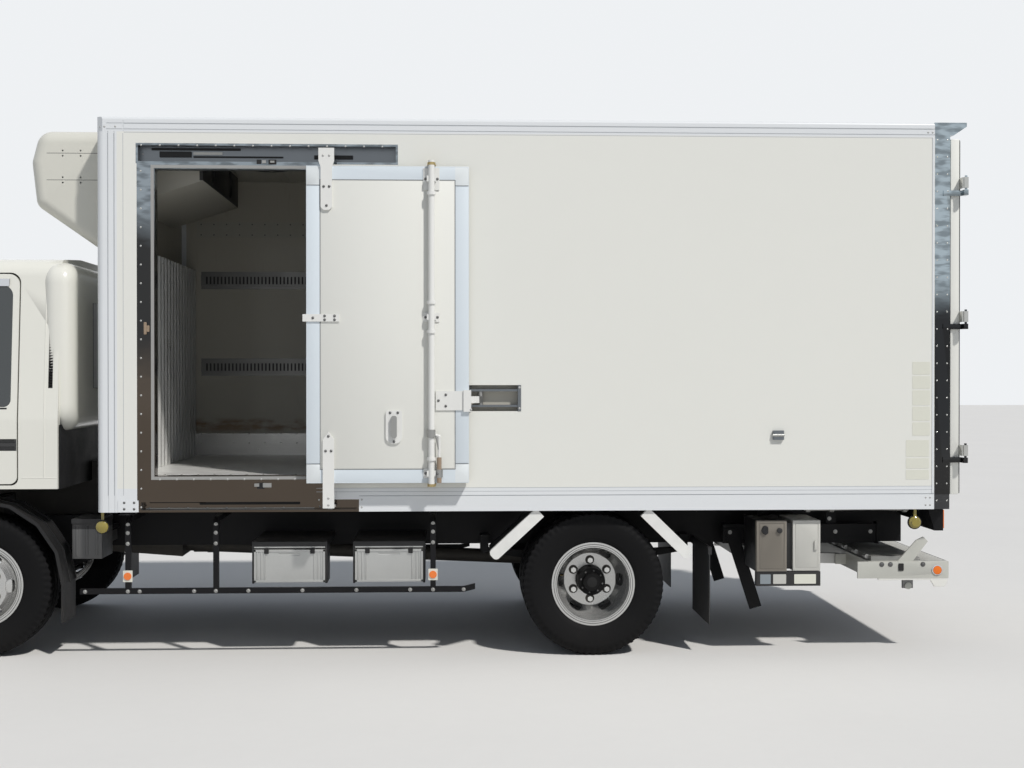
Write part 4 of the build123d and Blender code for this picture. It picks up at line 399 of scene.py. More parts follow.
def hexagon(radius: float, height: float, axis: int = 1, sign: int = 1) -> Shape:
    """Makes a bolt head on a thin washer, standing on the origin.

    Args:
        radius: To the corners of the head.
        height: Of the head.
        axis: The way that it points.
        sign: 1 or -1 along that axis.

    Returns:
        The bolt head.
    """
    washer = lathe([(radius * 1.5, -0.5 * sign), (radius * 1.5, 1.5 * sign)], (0, 0, 0), axis, 14)
    nut = lathe([(radius, 0.0), (radius, height * 0.8 * sign), (radius * 0.8, height * sign)], (0, 0, 0),
                axis, 6)
    return washer + nut


# Shader groups, each built once

def socket_group(name: str, inputs: dict[str, tuple[str, float]],
                 outputs: dict[str, str]) -> bpy.types.NodeTree:
    """Starts a shader node group.

    Args:
        name: Name of the group.
        inputs: Each input's socket type and default.
        outputs: Each output's socket type.

    Returns:
        The group with its input and output nodes named "in" and "out".
    """
    tree = bpy.data.node_groups.new(name, "ShaderNodeTree")
    for label, (kind, default) in inputs.items():
        socket = tree.interface.new_socket(label, in_out="INPUT", socket_type=kind)
        if kind == "NodeSocketFloat":
            socket.default_value = default
    for label, kind in outputs.items():
        tree.interface.new_socket(label, in_out="OUTPUT", socket_type=kind)
    tree.nodes.new("NodeGroupInput").name = "in"
    tree.nodes.new("NodeGroupOutput").name = "out"
    return tree


def placed(name: str, data: bpy.types.ID) -> Piece:
    """Makes an object that shows some data and links it to the scene.

    Args:
        name: Its name.
        data: What it shows.

    Returns:
        The new object.
    """
    thing = bpy.data.objects.new(name, data)
    bpy.context.scene.collection.objects.link(thing)
    return thing


def points_of(mesh: bpy.types.Mesh) -> np.ndarray:
    """Reads the points of a mesh.

    Args:
        mesh: The mesh.

    Returns:
        An array (n, 3), in metres.
    """
    place = np.empty(len(mesh.vertices) * 3, np.float32)
    mesh.vertices.foreach_get("co", place)
    return place.reshape(-1, 3)


@dataclass
class Wiring:
    """Adds nodes to a tree and links them in one call."""

    tree: bpy.types.NodeTree

    def add(self, kind: str, settings: dict | None = None, inputs: dict | None = None) -> bpy.types.Node:
        """Adds one node.

        Args:
            kind: The node's type.
            settings: Its properties.
            inputs: A value or a socket for each of its inputs, by name or number.

        Returns:
            The node.
        """
        node = self.tree.nodes.new(kind)
        for label, value in (settings or {}).items():
            setattr(node, label, value)
        for label, value in (inputs or {}).items():
            if isinstance(value, Socket):
                self.tree.links.new(value, node.inputs[label])
            else:
                node.inputs[label].default_value = value
        return node

    def maths(self, operation: str, *values: object, clamp: bool = False) -> Socket:
        """Adds a Math node and returns its output."""
        node = self.add("ShaderNodeMath", {"operation": operation, "use_clamp": clamp},
                        dict(enumerate(values)))
        return node.outputs[0]

    def plus(self, *values: object, clamp: bool = False) -> Socket:
        """Returns the sum of two values."""
        return self.maths("ADD", *values, clamp=clamp)

    def minus(self, *values: object) -> Socket:
        """Returns the first value less the second."""
        return self.maths("SUBTRACT", *values)

    def times(self, *values: object, clamp: bool = False) -> Socket:
        """Returns the product of two values."""
        return self.maths("MULTIPLY", *values, clamp=clamp)

    def group(self, word: str, inputs: dict) -> bpy.types.bpy_prop_collection:
        """Adds one of the shared groups and returns its outputs."""
        return self.add("ShaderNodeGroup", {"node_tree": GROUPS[word]}, inputs).outputs

    def noise(self, vector: Socket, scale: object, detail: float = 4.0,
              roughness: float = 0.55) -> Socket:
        """Adds a noise texture and returns its value."""
        node = self.add("ShaderNodeTexNoise", {}, {"Vector": vector, "Scale": scale, "Detail": detail,
                                                   "Roughness": roughness})
        return node.outputs["Fac"]

    def span(self, value: object, low: object, high: object, to_low: object = 0.0,
             to_high: object = 1.0) -> Socket:
        """Adds a smooth map from one range to another and returns its result."""
        node = self.add("ShaderNodeMapRange", {"interpolation_type": "SMOOTHSTEP"},
                        {0: value, 1: low, 2: high, 3: to_low, 4: to_high})
        return node.outputs[0]

    def blend(self, factor: object, first: object, second: object) -> Socket:
        """Adds a colour mix and returns its result."""
        node = self.add("ShaderNodeMix", {"data_type": "RGBA"}, {0: factor, 6: first, 7: second})
        return node.outputs[2]

    def mix(self, factor: object, first: object, second: object) -> object:
        """Mixes two levels by a factor.

        Args:
            factor: 0 for the first level, 1 for the second.
            first: A number or an output.
            second: Another.

        Returns:
            The mixed level, or the one value where both are the same number.
        """
        if isinstance(first, float) and isinstance(second, float) and first == second:
            return first
        node = self.add("ShaderNodeMix", {"data_type": "FLOAT"}, {0: factor, 2: first, 3: second})
        return node.outputs[0]

    def parts(self) -> tuple[Socket, ...]:
        """Splits the object coordinates with one shared node.

        Returns:
            The X, Y and Z.
        """
        split = self.tree.nodes.get("parts")
        if split is None:
            here = self.add("ShaderNodeTexCoord").outputs["Object"]
            split = self.add("ShaderNodeSeparateXYZ", {"name": "parts"}, {0: here})
        return tuple(split.outputs)

    def place(self, stretch: Triple = (1, 1, 1)) -> Socket:
        """Adds object coordinates, stretched along the axes."""
        here = self.add("ShaderNodeTexCoord").outputs["Object"]
        return self.add("ShaderNodeMapping", {}, {0: here, "Scale": stretch}).outputs[0]


FLOAT, COLOUR, VECTOR = "NodeSocketFloat", "NodeSocketColor", "NodeSocketVector"


def tone_group() -> bpy.types.NodeTree:
    """Builds the slow change of tone that every painted and moulded surface has: large faint clouds with
    small ones on them, which lighten and darken the colour by the given amount.

    Returns:
        The group.
    """
    tree = socket_group("slow_tone", {"Colour": (COLOUR, 0), "Amount": (FLOAT, 0.05), "Scale": (FLOAT, 2.0)},
                        {"Colour": COLOUR, "Mask": FLOAT})
    w = Wiring(tree)
    source = tree.nodes["in"].outputs
    here = w.place()
    wide = w.noise(here, source["Scale"], 3.0)
    fine = w.noise(here, w.times(source["Scale"], 14.0), 3.0)
    mask = w.plus(w.times(wide, 0.7), w.times(fine, 0.3))
    swing = w.times(w.minus(mask, 0.5), w.times(source["Amount"], 4.0))
    level = w.plus(swing, 1.0)
    scaled = w.add("ShaderNodeVectorMath", {"operation": "SCALE"}, {0: source["Colour"], 3: level})
    sink = tree.nodes["out"].inputs
    tree.links.new(scaled.outputs[0], sink["Colour"])
    tree.links.new(mask, sink["Mask"])
    return tree


def dust_group() -> bpy.types.NodeTree:
    """Builds road dust: a mask that grows towards the ground below a given height, broken up by noise and
    thicker on faces that look up, with the colour mixed by it.

    Returns:
        The group.
    """
    tree = socket_group("road_dust", {"Colour": (COLOUR, 0), "Dust": (COLOUR, 0), "Amount": (FLOAT, 0.3),
                                      "Top": (FLOAT, 1.0), "Scale": (FLOAT, 9.0)},
                        {"Colour": COLOUR, "Mask": FLOAT})
    w = Wiring(tree)
    source = tree.nodes["in"].outputs
    here = w.place()
    height = w.add("ShaderNodeSeparateXYZ", {}, {0: here}).outputs[2]
    low = w.span(height, source["Top"], 0.0)
    up = w.add("ShaderNodeSeparateXYZ", {}, {0: w.add("ShaderNodeNewGeometry").outputs["Normal"]}).outputs[2]
    shelf = w.span(up, 0.3, 1.0, 0.0, 0.6)
    cloud = w.span(w.noise(here, source["Scale"], 6.0, 0.65), 0.35, 0.7, 0.35, 1.0)
    mask = w.times(w.times(w.plus(low, shelf, clamp=True), cloud), source["Amount"], clamp=True)
    sink = tree.nodes["out"].inputs
    tree.links.new(w.blend(mask, source["Colour"], source["Dust"]), sink["Colour"])
    tree.links.new(mask, sink["Mask"])
    return tree


def grain_group() -> bpy.types.NodeTree:
    """Builds a fine relief: noise at two scales, stretched along the given way, as a normal.

    Returns:
        The group.
    """
    tree = socket_group("fine_relief", {"Place": (VECTOR, 0), "Scale": (FLOAT, 200.0), "Depth": (FLOAT, 0.1)},
                        {"Normal": VECTOR, "Value": FLOAT})
    w = Wiring(tree)
    source = tree.nodes["in"].outputs
    fine = w.noise(source["Place"], source["Scale"], 3.0)
    wide = w.noise(source["Place"], w.times(source["Scale"], 0.12), 2.0)
    both = w.plus(w.times(fine, 0.5), w.times(wide, 0.5))
    bump = w.add("ShaderNodeBump", {}, {"Height": both, "Strength": source["Depth"], "Distance": 0.002})
    sink = tree.nodes["out"].inputs
    tree.links.new(bump.outputs[0], sink["Normal"])
    tree.links.new(both, sink["Value"])
    return tree


GROUPS = {"tone": tone_group(), "dust": dust_group(), "grain": grain_group()}
DUST = (0.30, 0.26, 0.20, 1.0)
DUST_DULLS = 0.5
GLOSS_DRIFT = 0.4
GLOSS_PER_TONE = 4.0
COAT_ROUGHNESS = 0.08
Level = float | Socket


@dataclass(frozen=True)
class Finish:
    """A painted, moulded or bare surface: colour, gloss, relief, drift of tone, road dust, and zones of
    another finish."""

    name: str
    colour: Triple
    roughness: float = 0.4
    metallic: float = 0.0
    coat: float = 0.0
    tone: float = 0.03
    tone_scale: float = 1.5
    relief: float = 0.05
    relief_scale: float = 220.0
    stretch: Triple = (1.0, 1.0, 1.0)
    dust: float = 0.0
    dust_top: float = 1.2
    emission: float = 0.0
    specular: float = 0.5
    zones: tuple["Zone", ...] = ()

    def base(self, w: Wiring) -> tuple[object, Level, Level]:
        """Returns the colour, roughness and metalness before dust; a plain finish has one value of each."""
        return (*self.colour, 1.0), self.roughness, self.metallic

    def look(self, w: Wiring) -> tuple[object, Level, Level]:
        """Mixes each zone's own base into the finish's base, by the zone's mask.

        Args:
            w: The wiring.

        Returns:
            Colour, roughness and metallic level.
        """
        colour, rough, metal = self.base(w)
        for zone in self.zones:
            mask = zone.mask(w)
            other_colour, other_rough, other_metal = zone.finish.base(w)
            colour = w.blend(mask, colour, other_colour)
            rough = w.mix(mask, rough, other_rough)
            metal = w.mix(mask, metal, other_metal)
        return colour, rough, metal

    def material(self) -> bpy.types.Material:
        """Builds the finish's material the first time it is asked for.

        Returns:
            The material.
        """
        known = bpy.data.materials.get(self.name)
        if known:
            return known
        material = bpy.data.materials.new(self.name)
        material.use_nodes = True
        tree = material.node_tree
        shader = tree.nodes["Principled BSDF"]
        w = Wiring(tree)
        colour, rough, metal = self.look(w)
        tone = w.group("tone", {"Colour": colour, "Amount": self.tone, "Scale": self.tone_scale})
        colour, mask = tone["Colour"], tone["Mask"]
        drift = w.times(w.minus(mask, 0.5), min(GLOSS_DRIFT, GLOSS_PER_TONE * self.tone))
        gloss = w.plus(drift, rough, clamp=True)
        if self.dust > 0:
            dust = w.group("dust", {"Colour": colour, "Dust": DUST, "Amount": self.dust,
                                    "Top": self.dust_top})
            colour = dust["Colour"]
            gloss = w.plus(gloss, w.times(dust["Mask"], DUST_DULLS), clamp=True)
        links = tree.links
        links.new(colour, shader.inputs["Base Color"])
        links.new(gloss, shader.inputs["Roughness"])
        links.new(self.bumps(w), shader.inputs["Normal"])
        if isinstance(metal, Socket):
            links.new(metal, shader.inputs["Metallic"])
        else:
            shader.inputs["Metallic"].default_value = metal
        shader.inputs["Coat Weight"].default_value = self.coat
        shader.inputs["Coat Roughness"].default_value = COAT_ROUGHNESS
        shader.inputs["Specular IOR Level"].default_value = self.specular
        if self.emission > 0:
            shader.inputs["Emission Color"].default_value = (*self.colour, 1.0)
            shader.inputs["Emission Strength"].default_value = self.emission
        return material

    def bumps(self, w: Wiring) -> Socket:
        """Returns the normal of the fine relief."""
        place = w.place(self.stretch)
        return w.group("grain", {"Place": place, "Scale": self.relief_scale, "Depth": self.relief})["Normal"]

    def zoned(self, name: str, *zones: "Zone") -> "Finish":
        """Returns the finish under another name, with zones on it."""
        return replace(self, name=name, zones=zones)


@dataclass(frozen=True)
class Zone:
    """A share of a solid that has another finish: between two values along each axis in millimetres, with Y
    counted from the middle plane, or between two radii about an axle's (x, z)."""

    finish: Finish
    x: Span | None = None
    y: Span | None = None
    z: Span | None = None
    axle: Span | None = None
    ring: Span = (0.0, 0.0)

    def mask(self, w: Wiring) -> Socket:
        """Multiplies one test for each axis that has limits.

        Args:
            w: The wiring.

        Returns:
            1 inside the zone and 0 outside.
        """
        x, y, z = w.parts()
        tests = [(x, self.x), (w.maths("ABSOLUTE", y), self.y), (z, self.z)]
        if self.axle:
            across = w.minus(x, self.axle[0] * MM)
            up = w.minus(z, self.axle[1] * MM)
            square = w.plus(w.times(across, across), w.times(up, up))
            tests.append((w.maths("SQRT", square), self.ring))
        total = None
        for value, span in tests:
            if span is not None:
                low, high = min(span) * MM, max(span) * MM
                part = w.maths("COMPARE", value, (low + high) / 2, (high - low) / 2)
                total = part if total is None else w.times(total, part)
        return total


@dataclass(frozen=True)
class Stainless(Finish):
    """Polished sheet whose colour holds painted reflections: the sky above, a dark band, and the brown ground
    below.
    """

    # Colours of the painted reflections of the ground (low) and of the dark band (middle); the finish's own
    # colour is the painted sky.
    low: Triple = (0.105, 0.085, 0.068)
    middle: Triple = (0.042, 0.042, 0.042)
    fall: Span = (1.65, 2.40)
    wave: float = 0.16
    ripple: float = 9.0

    def base(self, w: Wiring) -> tuple[object, Level, Level]:
        """Wires three painted reflections by height, the brown ground, the dark band and the sky, with soft
        uneven borders, and paints the sky's reflection lighter and darker along flat ripples.

        Args:
            w: The wiring.

        Returns:
            Colour, roughness and metallic level.
        """
        here = w.place()
        height = w.parts()[2]
        drift = w.times(w.minus(w.noise(here, 2.1, 2.0), 0.5), self.wave * 2)
        ripple = w.noise(w.place((1.0, 1.0, 3.2)), self.ripple, 2.0)
        level = w.plus(w.plus(height, drift), w.times(ripple, self.wave))
        lower = w.span(level, self.fall[0] - 0.15, self.fall[0] + 0.25)
        upper = w.span(level, self.fall[1] - 0.05, self.fall[1] + 0.18)
        # Painted reflections: the brown ground low down, the dark band above it, the sky at the top.
        dark = w.blend(lower, (*self.low, 1.0), (*self.middle, 1.0))
        # Painted reflection of the sky in the ripples: its colour and a darker, shaded copy of it.
        shaded = tuple(share * 0.55 for share in self.colour)
        light = w.blend(w.span(ripple, 0.40, 0.62), (*self.colour, 1.0), (*shaded, 1.0))
        return w.blend(upper, dark, light), self.roughness, self.metallic


@dataclass(frozen=True)
class StainedPanel(Finish):
    """Lining with a rust-brown band along it at one height."""

    stain: Triple = (0.20, 0.115, 0.052)
    level: float = 1.225

    def base(self, w: Wiring) -> tuple[object, Level, Level]:
        """Adds a band of stain, strongest in its middle and broken up by noise.

        Args:
            w: The wiring.

        Returns:
            Colour, roughness and metallic level.
        """
        away = w.maths("ABSOLUTE", w.minus(w.parts()[2], self.level))
        band = w.span(away, 0.062, 0.02)
        cloud = w.span(w.noise(w.place((1.0, 1.0, 3.0)), 6.0, 5.0), 0.36, 0.62)
        drops = w.span(w.noise(w.place((8.0, 8.0, 1.0)), 3.0, 3.0), 0.62, 0.78, 0.0, 0.12)
        amount = w.plus(w.times(band, w.times(cloud, 0.85)), drops, clamp=True)
        return w.blend(amount, (*self.colour, 1.0), (*self.stain, 1.0)), self.roughness, self.metallic


@dataclass(frozen=True)
class Chequer(Finish):
    """Aluminium floor plate with short raised bars that lie crosswise in turn."""

    pitch: float = 0.030

    def bumps(self, w: Wiring) -> Socket:
        """Wires the bars: a bar is where one wave is high and a slower one across it is too, and the
        other way round half a pitch on.

        Args:
            w: The wiring.

        Returns:
            The normal of the bars.
        """
        x, y, _ = w.parts()
        turn = math.pi / self.pitch
        u = w.times(w.plus(x, y), turn)
        v = w.times(w.minus(x, y), turn)
        bars = []
        for long, across, sign in ((u, v, 1), (v, u, -1)):
            gate = w.span(w.maths("COSINE", w.times(across, 2.0)), 0.2 * sign, 0.9 * sign)
            wave = w.times(w.maths("COSINE", long), gate)
            bars.append(w.span(w.maths("ABSOLUTE", wave), 0.3, 0.8))
        height = w.maths("MAXIMUM", *bars)
        bump = w.add("ShaderNodeBump", {}, {"Height": height, "Strength": 0.7, "Distance": 0.0015})
        return bump.outputs[0]


WALL_WHITE = Finish("wall_white", (0.725, 0.725, 0.680), 0.36, coat=0.15, tone=0.010, tone_scale=0.6,
                    relief=0.10, relief_scale=60.0, dust=0.04, dust_top=1.3)
RAIL_WHITE = Finish("rail_white", (0.690, 0.710, 0.725), 0.32, coat=0.25, tone=0.012, tone_scale=0.8,
                    relief=0.03, dust=0.06, dust_top=1.1)
FRAME_WHITE = Finish("frame_white", (0.640, 0.700, 0.745), 0.36, coat=0.15, tone=0.012, relief=0.03)
CORNER_WHITE = Finish("corner_white", (0.690, 0.725, 0.735), 0.36, tone=0.01)
FITTING_WHITE = Finish("fitting_white", (0.720, 0.720, 0.695), 0.38, coat=0.2, tone=0.02, tone_scale=6.0)
CAB_WHITE = Finish("cab_white", (0.705, 0.700, 0.640), 0.24, coat=0.6, tone=0.008, relief=0.01, dust=0.02,
                   dust_top=1.1)
UNIT_WHITE = Finish("unit_white", (0.620, 0.612, 0.550), 0.42, tone=0.02, relief=0.08, relief_scale=120.0)
# Both stainless finishes paint reflections of the sky, a dark band and the ground into their colour.
STEEL = Stainless("stainless", (0.30, 0.34, 0.37), 0.10, metallic=1.0, tone=0.05, tone_scale=3.0, relief=0.08,
                  relief_scale=3.0)
POST_STEEL = Stainless("post_stainless", (0.42, 0.49, 0.53), 0.08, metallic=1.0, tone=0.05, tone_scale=3.0,
                       relief=0.10, relief_scale=4.0, low=(0.045, 0.045, 0.045), middle=(0.035, 0.036, 0.038),
                       fall=(1.2, 1.98), wave=0.10)
BRIGHT = Finish("bright_steel", (0.52, 0.52, 0.50), 0.22, metallic=1.0, tone=0.10, tone_scale=12.0)
ZINC = Finish("zinc_steel", (0.33, 0.33, 0.32), 0.40, metallic=0.9, tone=0.20, tone_scale=14.0, relief=0.1)
DARK_HEAD = Finish("screw_head", (0.13, 0.13, 0.13), 0.38, metallic=0.8, tone=0.10, tone_scale=20.0)
PALE_HEAD = Finish("painted_head", (0.40, 0.40, 0.39), 0.40, metallic=0.3, tone=0.10, tone_scale=20.0)
BRASS = Finish("yellow_zinc", (0.42, 0.33, 0.16), 0.38, metallic=0.8, tone=0.25, tone_scale=30.0)
TAN = Finish("worn_grip", (0.27, 0.20, 0.14), 0.55, tone=0.25, tone_scale=18.0, relief=0.2)
ALUMINIUM = Finish("ribbed_aluminium", (0.46, 0.465, 0.455), 0.40, metallic=0.6, tone=0.05, tone_scale=5.0,
                   relief=0.06, stretch=(0.1, 1.0, 1.0), dust=0.08, dust_top=0.7)
TRACK = Finish("track_aluminium", (0.17, 0.185, 0.20), 0.32, metallic=0.85, tone=0.12, tone_scale=7.0,
               relief=0.06, stretch=(0.05, 1.0, 1.0))
RAIL_METAL = Finish("lashing_rail", (0.15, 0.15, 0.145), 0.38, metallic=0.8, tone=0.10, tone_scale=9.0)
KICK = Finish("kick_plate", (0.40, 0.40, 0.39), 0.34, metallic=0.75, tone=0.10, tone_scale=5.0,
              stretch=(0.1, 1.0, 1.0))
# The body's lining is beige-white; both lining colours are darkened to paint the shade inside the body.
SHADED_LINING = StainedPanel("lining_beige_painted_shade", (0.44, 0.42, 0.36), 0.55, tone=0.04, tone_scale=2.0, relief=0.06)
SHADED_LINING_TOP = Finish("lining_white_painted_shade", (0.42, 0.41, 0.36), 0.50, tone=0.03, tone_scale=2.0, relief=0.06)
BULKHEAD = Finish("bulkhead_metal", (0.60, 0.60, 0.58), 0.34, metallic=0.35, tone=0.10, tone_scale=4.0,
                  stretch=(1.0, 1.0, 0.1))
DECK = Chequer("chequer_plate", (0.80, 0.80, 0.78), 0.36, metallic=0.35, tone=0.14, tone_scale=6.0, dust=0.10,
               dust_top=2.0)
FRAME_BLACK = Finish("frame_black", (0.008, 0.008, 0.009), 0.45, tone=0.2, tone_scale=5.0, relief=0.15,
                     relief_scale=90.0, dust=0.015, dust_top=0.5, specular=0.15)
MOULD_BLACK = Finish("mould_black", (0.013, 0.013, 0.014), 0.55, tone=0.12, relief=0.25, relief_scale=300.0,
                     dust=0.04, dust_top=0.8, specular=0.3)
RUBBER_SHEET = Finish("rubber_sheet", (0.028, 0.029, 0.031), 0.62, tone=0.15, relief=0.2, relief_scale=70.0,
                      dust=0.07, dust_top=0.6, specular=0.3)
SEAL = Finish("door_seal", (0.30, 0.30, 0.29), 0.6, tone=0.08)
GLASS = Finish("tinted_glass", (0.022, 0.028, 0.030), 0.06, tone=0.0, relief=0.0, coat=1.0)
MIRROR = Finish("mirror_glass", (0.60, 0.62, 0.64), 0.04, metallic=1.0, tone=0.0, relief=0.0)
SILVER = Finish("wheel_silver", (0.54, 0.54, 0.53), 0.26, metallic=0.8, tone=0.02, tone_scale=4.0,
                relief=0.0, specular=0.12)
HUB_BLACK = Finish("hub_black", (0.006, 0.006, 0.006), 0.55, tone=0.3, tone_scale=20.0, specular=0.3)
RIM_SHADE = Finish("rim_groove_shade", (0.10, 0.10, 0.10), 0.4, metallic=0.8)
NUT = Finish("nut_steel", (0.74, 0.74, 0.72), 0.24, metallic=0.8, tone=0.1, tone_scale=25.0)
TYRE_BLACK = Finish("tyre_rubber", (0.007, 0.007, 0.0075), 0.66, tone=0.12, tone_scale=6.0, relief=0.25,
                    relief_scale=150.0, dust=0.012, dust_top=0.3, specular=0.10)
BOX_BEIGE = Finish("box_beige", (0.175, 0.158, 0.133), 0.46, tone=0.05, tone_scale=9.0, dust=0.05,
                   dust_top=0.7)
BOX_WHITE = Finish("box_white", (0.50, 0.495, 0.46), 0.42, tone=0.04, tone_scale=9.0)
LIFT_WHITE = Finish("lift_white", (0.46, 0.46, 0.42), 0.42, tone=0.06, tone_scale=9.0, relief=0.08, dust=0.14,
                    dust_top=0.6)
LIFT_GREY = Finish("lift_leaf", (0.20, 0.20, 0.19), 0.48, metallic=0.4, tone=0.12, tone_scale=9.0, relief=0.1)
LIFT_STEEL = Finish("lift_steel", (0.20, 0.20, 0.20), 0.42, metallic=0.7, tone=0.2, tone_scale=12.0,
                    relief=0.15, relief_scale=60.0, dust=0.1, dust_top=0.8)
TANK_GREY = Finish("tank_grey", (0.10, 0.10, 0.10), 0.45, metallic=0.3, tone=0.1, dust=0.1)
IRON = Finish("cast_iron", (0.045, 0.043, 0.040), 0.65, metallic=0.4, tone=0.25, tone_scale=10.0, relief=0.4,
              relief_scale=120.0, dust=0.15)
CHROME = Finish("chrome", (0.66, 0.67, 0.69), 0.07, metallic=1.0, tone=0.0, relief=0.0)
AMBER = Finish("amber_lens", (0.80, 0.17, 0.008), 0.18, coat=0.8, tone=0.03, emission=0.10)
YELLOW = Finish("yellow_lens", (0.24, 0.19, 0.02), 0.15, coat=0.9, tone=0.12, tone_scale=25.0)
RED = Finish("red_lens", (0.42, 0.010, 0.010), 0.15, coat=0.9, tone=0.05)
CLEAR = Finish("clear_lens", (0.50, 0.52, 0.54), 0.08, coat=1.0, tone=0.05)
SEAT = Finish("seat_cloth", (0.05, 0.05, 0.06), 0.85, tone=0.1, relief=0.5, relief_scale=500.0)
DARK_TRIM = Finish("dash_grey", (0.045, 0.045, 0.050), 0.6, relief=0.3, relief_scale=400.0)
# Greys of thin lines that paint the shade in grooves.
GROOVE_SHADE = Finish("groove_shade_line", (0.20, 0.21, 0.22), 0.6)
PALE_GROOVE_SHADE = Finish("rail_shadow_line", (0.40, 0.42, 0.44), 0.6)
LABEL = Finish("blank_label", (0.66, 0.66, 0.58), 0.48, tone=0.015)
LABEL_DARK = Finish("blank_label_dark", (0.22, 0.25, 0.27), 0.48, tone=0.02)

OUTER_SHEET = (1150.0, 1200.0)
LENSES = ((AMBER, (878.0, 990.0)), (RED, (762.0, 875.0)), (CLEAR, (645.0, 760.0)))
WALL_PANEL = WALL_WHITE.zoned("wall_panel", Zone(SHADED_LINING, y=(0.0, 1088.0), x=(-3130.0, 1440.0)))
SLIDER = FRAME_WHITE.zoned(
    "sliding_panel", Zone(WALL_WHITE, x=(-440.0, 294.0), z=(1063.0, 2643.0), y=OUTER_SHEET),
    *(Zone(CORNER_WHITE, x=x, z=z, y=OUTER_SHEET) for x in ((-520.0, -442.0), (296.0, 375.0))
      for z in ((985.0, 1091.0), (2615.0, 2721.0))),
    Zone(SHADED_LINING_TOP, y=(1117.0, 1140.0)), Zone(SEAL, y=(1100.0, 1117.9)))
GEAR = FITTING_WHITE.zoned(
    "door_gear", *(Zone(BRASS, x=(-337.0, -287.0), z=z) for z in ((966.0, 983.0), (2723.0, 2739.0))),
    Zone(TAN, x=(-372.0, -336.0), y=(1210.0, 1246.0), z=(989.0, 1129.0)),
    Zone(ZINC, x=(-125.0, -89.0), y=(1205.1, 1230.0), z=(1234.0, 1356.0)),
    Zone(ZINC, x=(-334.0, -287.0), z=(1236.0, 1280.0)), Zone(ZINC, x=(-376.0, -334.0), z=(1018.0, 1062.0)),
    Zone(ZINC, x=(-600.0, -536.0), y=(1040.0, 1109.0), z=(1376.0, 1520.0)))
SURROUND = STEEL.zoned("surround", Zone(SEAL, y=(1101.0, 1110.0)),
                       Zone(TRACK, y=(1025.0, 1092.0), z=(2700.0, 2852.0)), Zone(TRACK, x=(-2300.0, -500.0)),
                       Zone(TRACK, y=(1040.0, 1099.0), z=(822.0, 1020.0)))
BOXES = ALUMINIUM.zoned(
    "cases", Zone(FRAME_BLACK, y=(0.0, 762.0)), Zone(MOULD_BLACK, z=(612.5, 700.0), x=(-300.0, 700.0)),
    *(Zone(FRAME_BLACK, x=(at(near), at(far))) for near, far in (
        (1524.2, 1512.0), (1920.8, 1933.0), (2089.2, 2077.0), (2470.8, 2483.0))),
    Zone(TANK_GREY, x=(at(680.0), at(480.0))), Zone(MOULD_BLACK, x=(at(680.0), at(480.0)), z=(710.0, 770.0)))
CABINET = BOX_BEIGE.zoned(
    "cabinet", Zone(FRAME_BLACK, y=(0.0, 1012.0)), Zone(FRAME_BLACK, x=(at(4522.5), at(4559.5))),
    Zone(BOX_WHITE, x=(at(4559.5), at(4720.0)), y=(700.0, 1062.0)), Zone(MOULD_BLACK, z=(380.0, 470.0)),
    Zone(MOULD_BLACK, y=(1050.5, 1063.0)))
MUDGUARDS = RUBBER_SHEET.zoned("mudguard_set", Zone(FITTING_WHITE, y=(1050.5, 1090.0)))
DOOR_PAINT = CAB_WHITE.zoned("cab_door_paint", Zone(MOULD_BLACK, x=(at(222.0), at(98.0)), z=(1157.0, 1223.0)))
PLATFORM = LIFT_WHITE.zoned(
    "platform", Zone(LIFT_GREY, y=(0.0, 961.0), z=(512.0, 600.0)),
    Zone(LIFT_STEEL, y=(0.0, 955.0), z=(340.0, 421.0)),
    Zone(AMBER, axle=(at(5400.0), 465.0), ring=(0.0, 25.0), y=(1000.5, 1010.0)))
LAMPS = YELLOW.zoned(
    "marker_lamp_set", Zone(FRAME_BLACK, y=(900.0, 1034.0), z=(690.0, 780.0), x=(-3100.0, 1540.0)),
    Zone(FRAME_BLACK, y=(1020.0, 1071.0), z=(690.0, 780.0), x=(-3120.0, -2950.0)),
    Zone(LABEL, y=(1010.0, 1019.2), z=(420.0, 500.0)), Zone(AMBER, y=(1019.2, 1030.0), z=(420.0, 500.0)),
    *(Zone(lens, x=(-3240.0, -3200.0), y=y) for lens, y in LENSES))
REAR_DOOR = WALL_WHITE.zoned("rear_door_panel", Zone(SHADED_LINING_TOP, x=(-3262.0, -3180.0), y=(40.0, 1062.0)))
PORTAL = POST_STEEL.zoned("portal", Zone(RUBBER_SHEET, z=(800.0, 905.0)))


def wheel_paint(name: str, x: float, nuts: Span, iron: Span) -> Finish:
    """Puts bright nuts, a black hub, two dark rings that paint the shade of grooves in the rim, and iron
    behind the disc together.

    Args:
        name: Name of the finish.
        x: Place of the axle.
        nuts: Where the nuts are across the truck.
        iron: Where the iron parts are.

    Returns:
        A wheel's finish.
    """
    axle = (x, AXLE_Z)
    # Dark rings painted as the shade in the rim's grooves.
    grooves = [Zone(RIM_SHADE, axle=axle, ring=ring) for ring in ((221.0, 224.5), (209.5, 212.5))]
    return SILVER.zoned(name, Zone(NUT, axle=axle, ring=(94.0, 128.0), y=nuts),
                        Zone(HUB_BLACK, axle=axle, ring=(0.0, 84.0)), *grooves,
                        Zone(IRON, axle=axle, ring=(0.0, 150.0), y=iron))


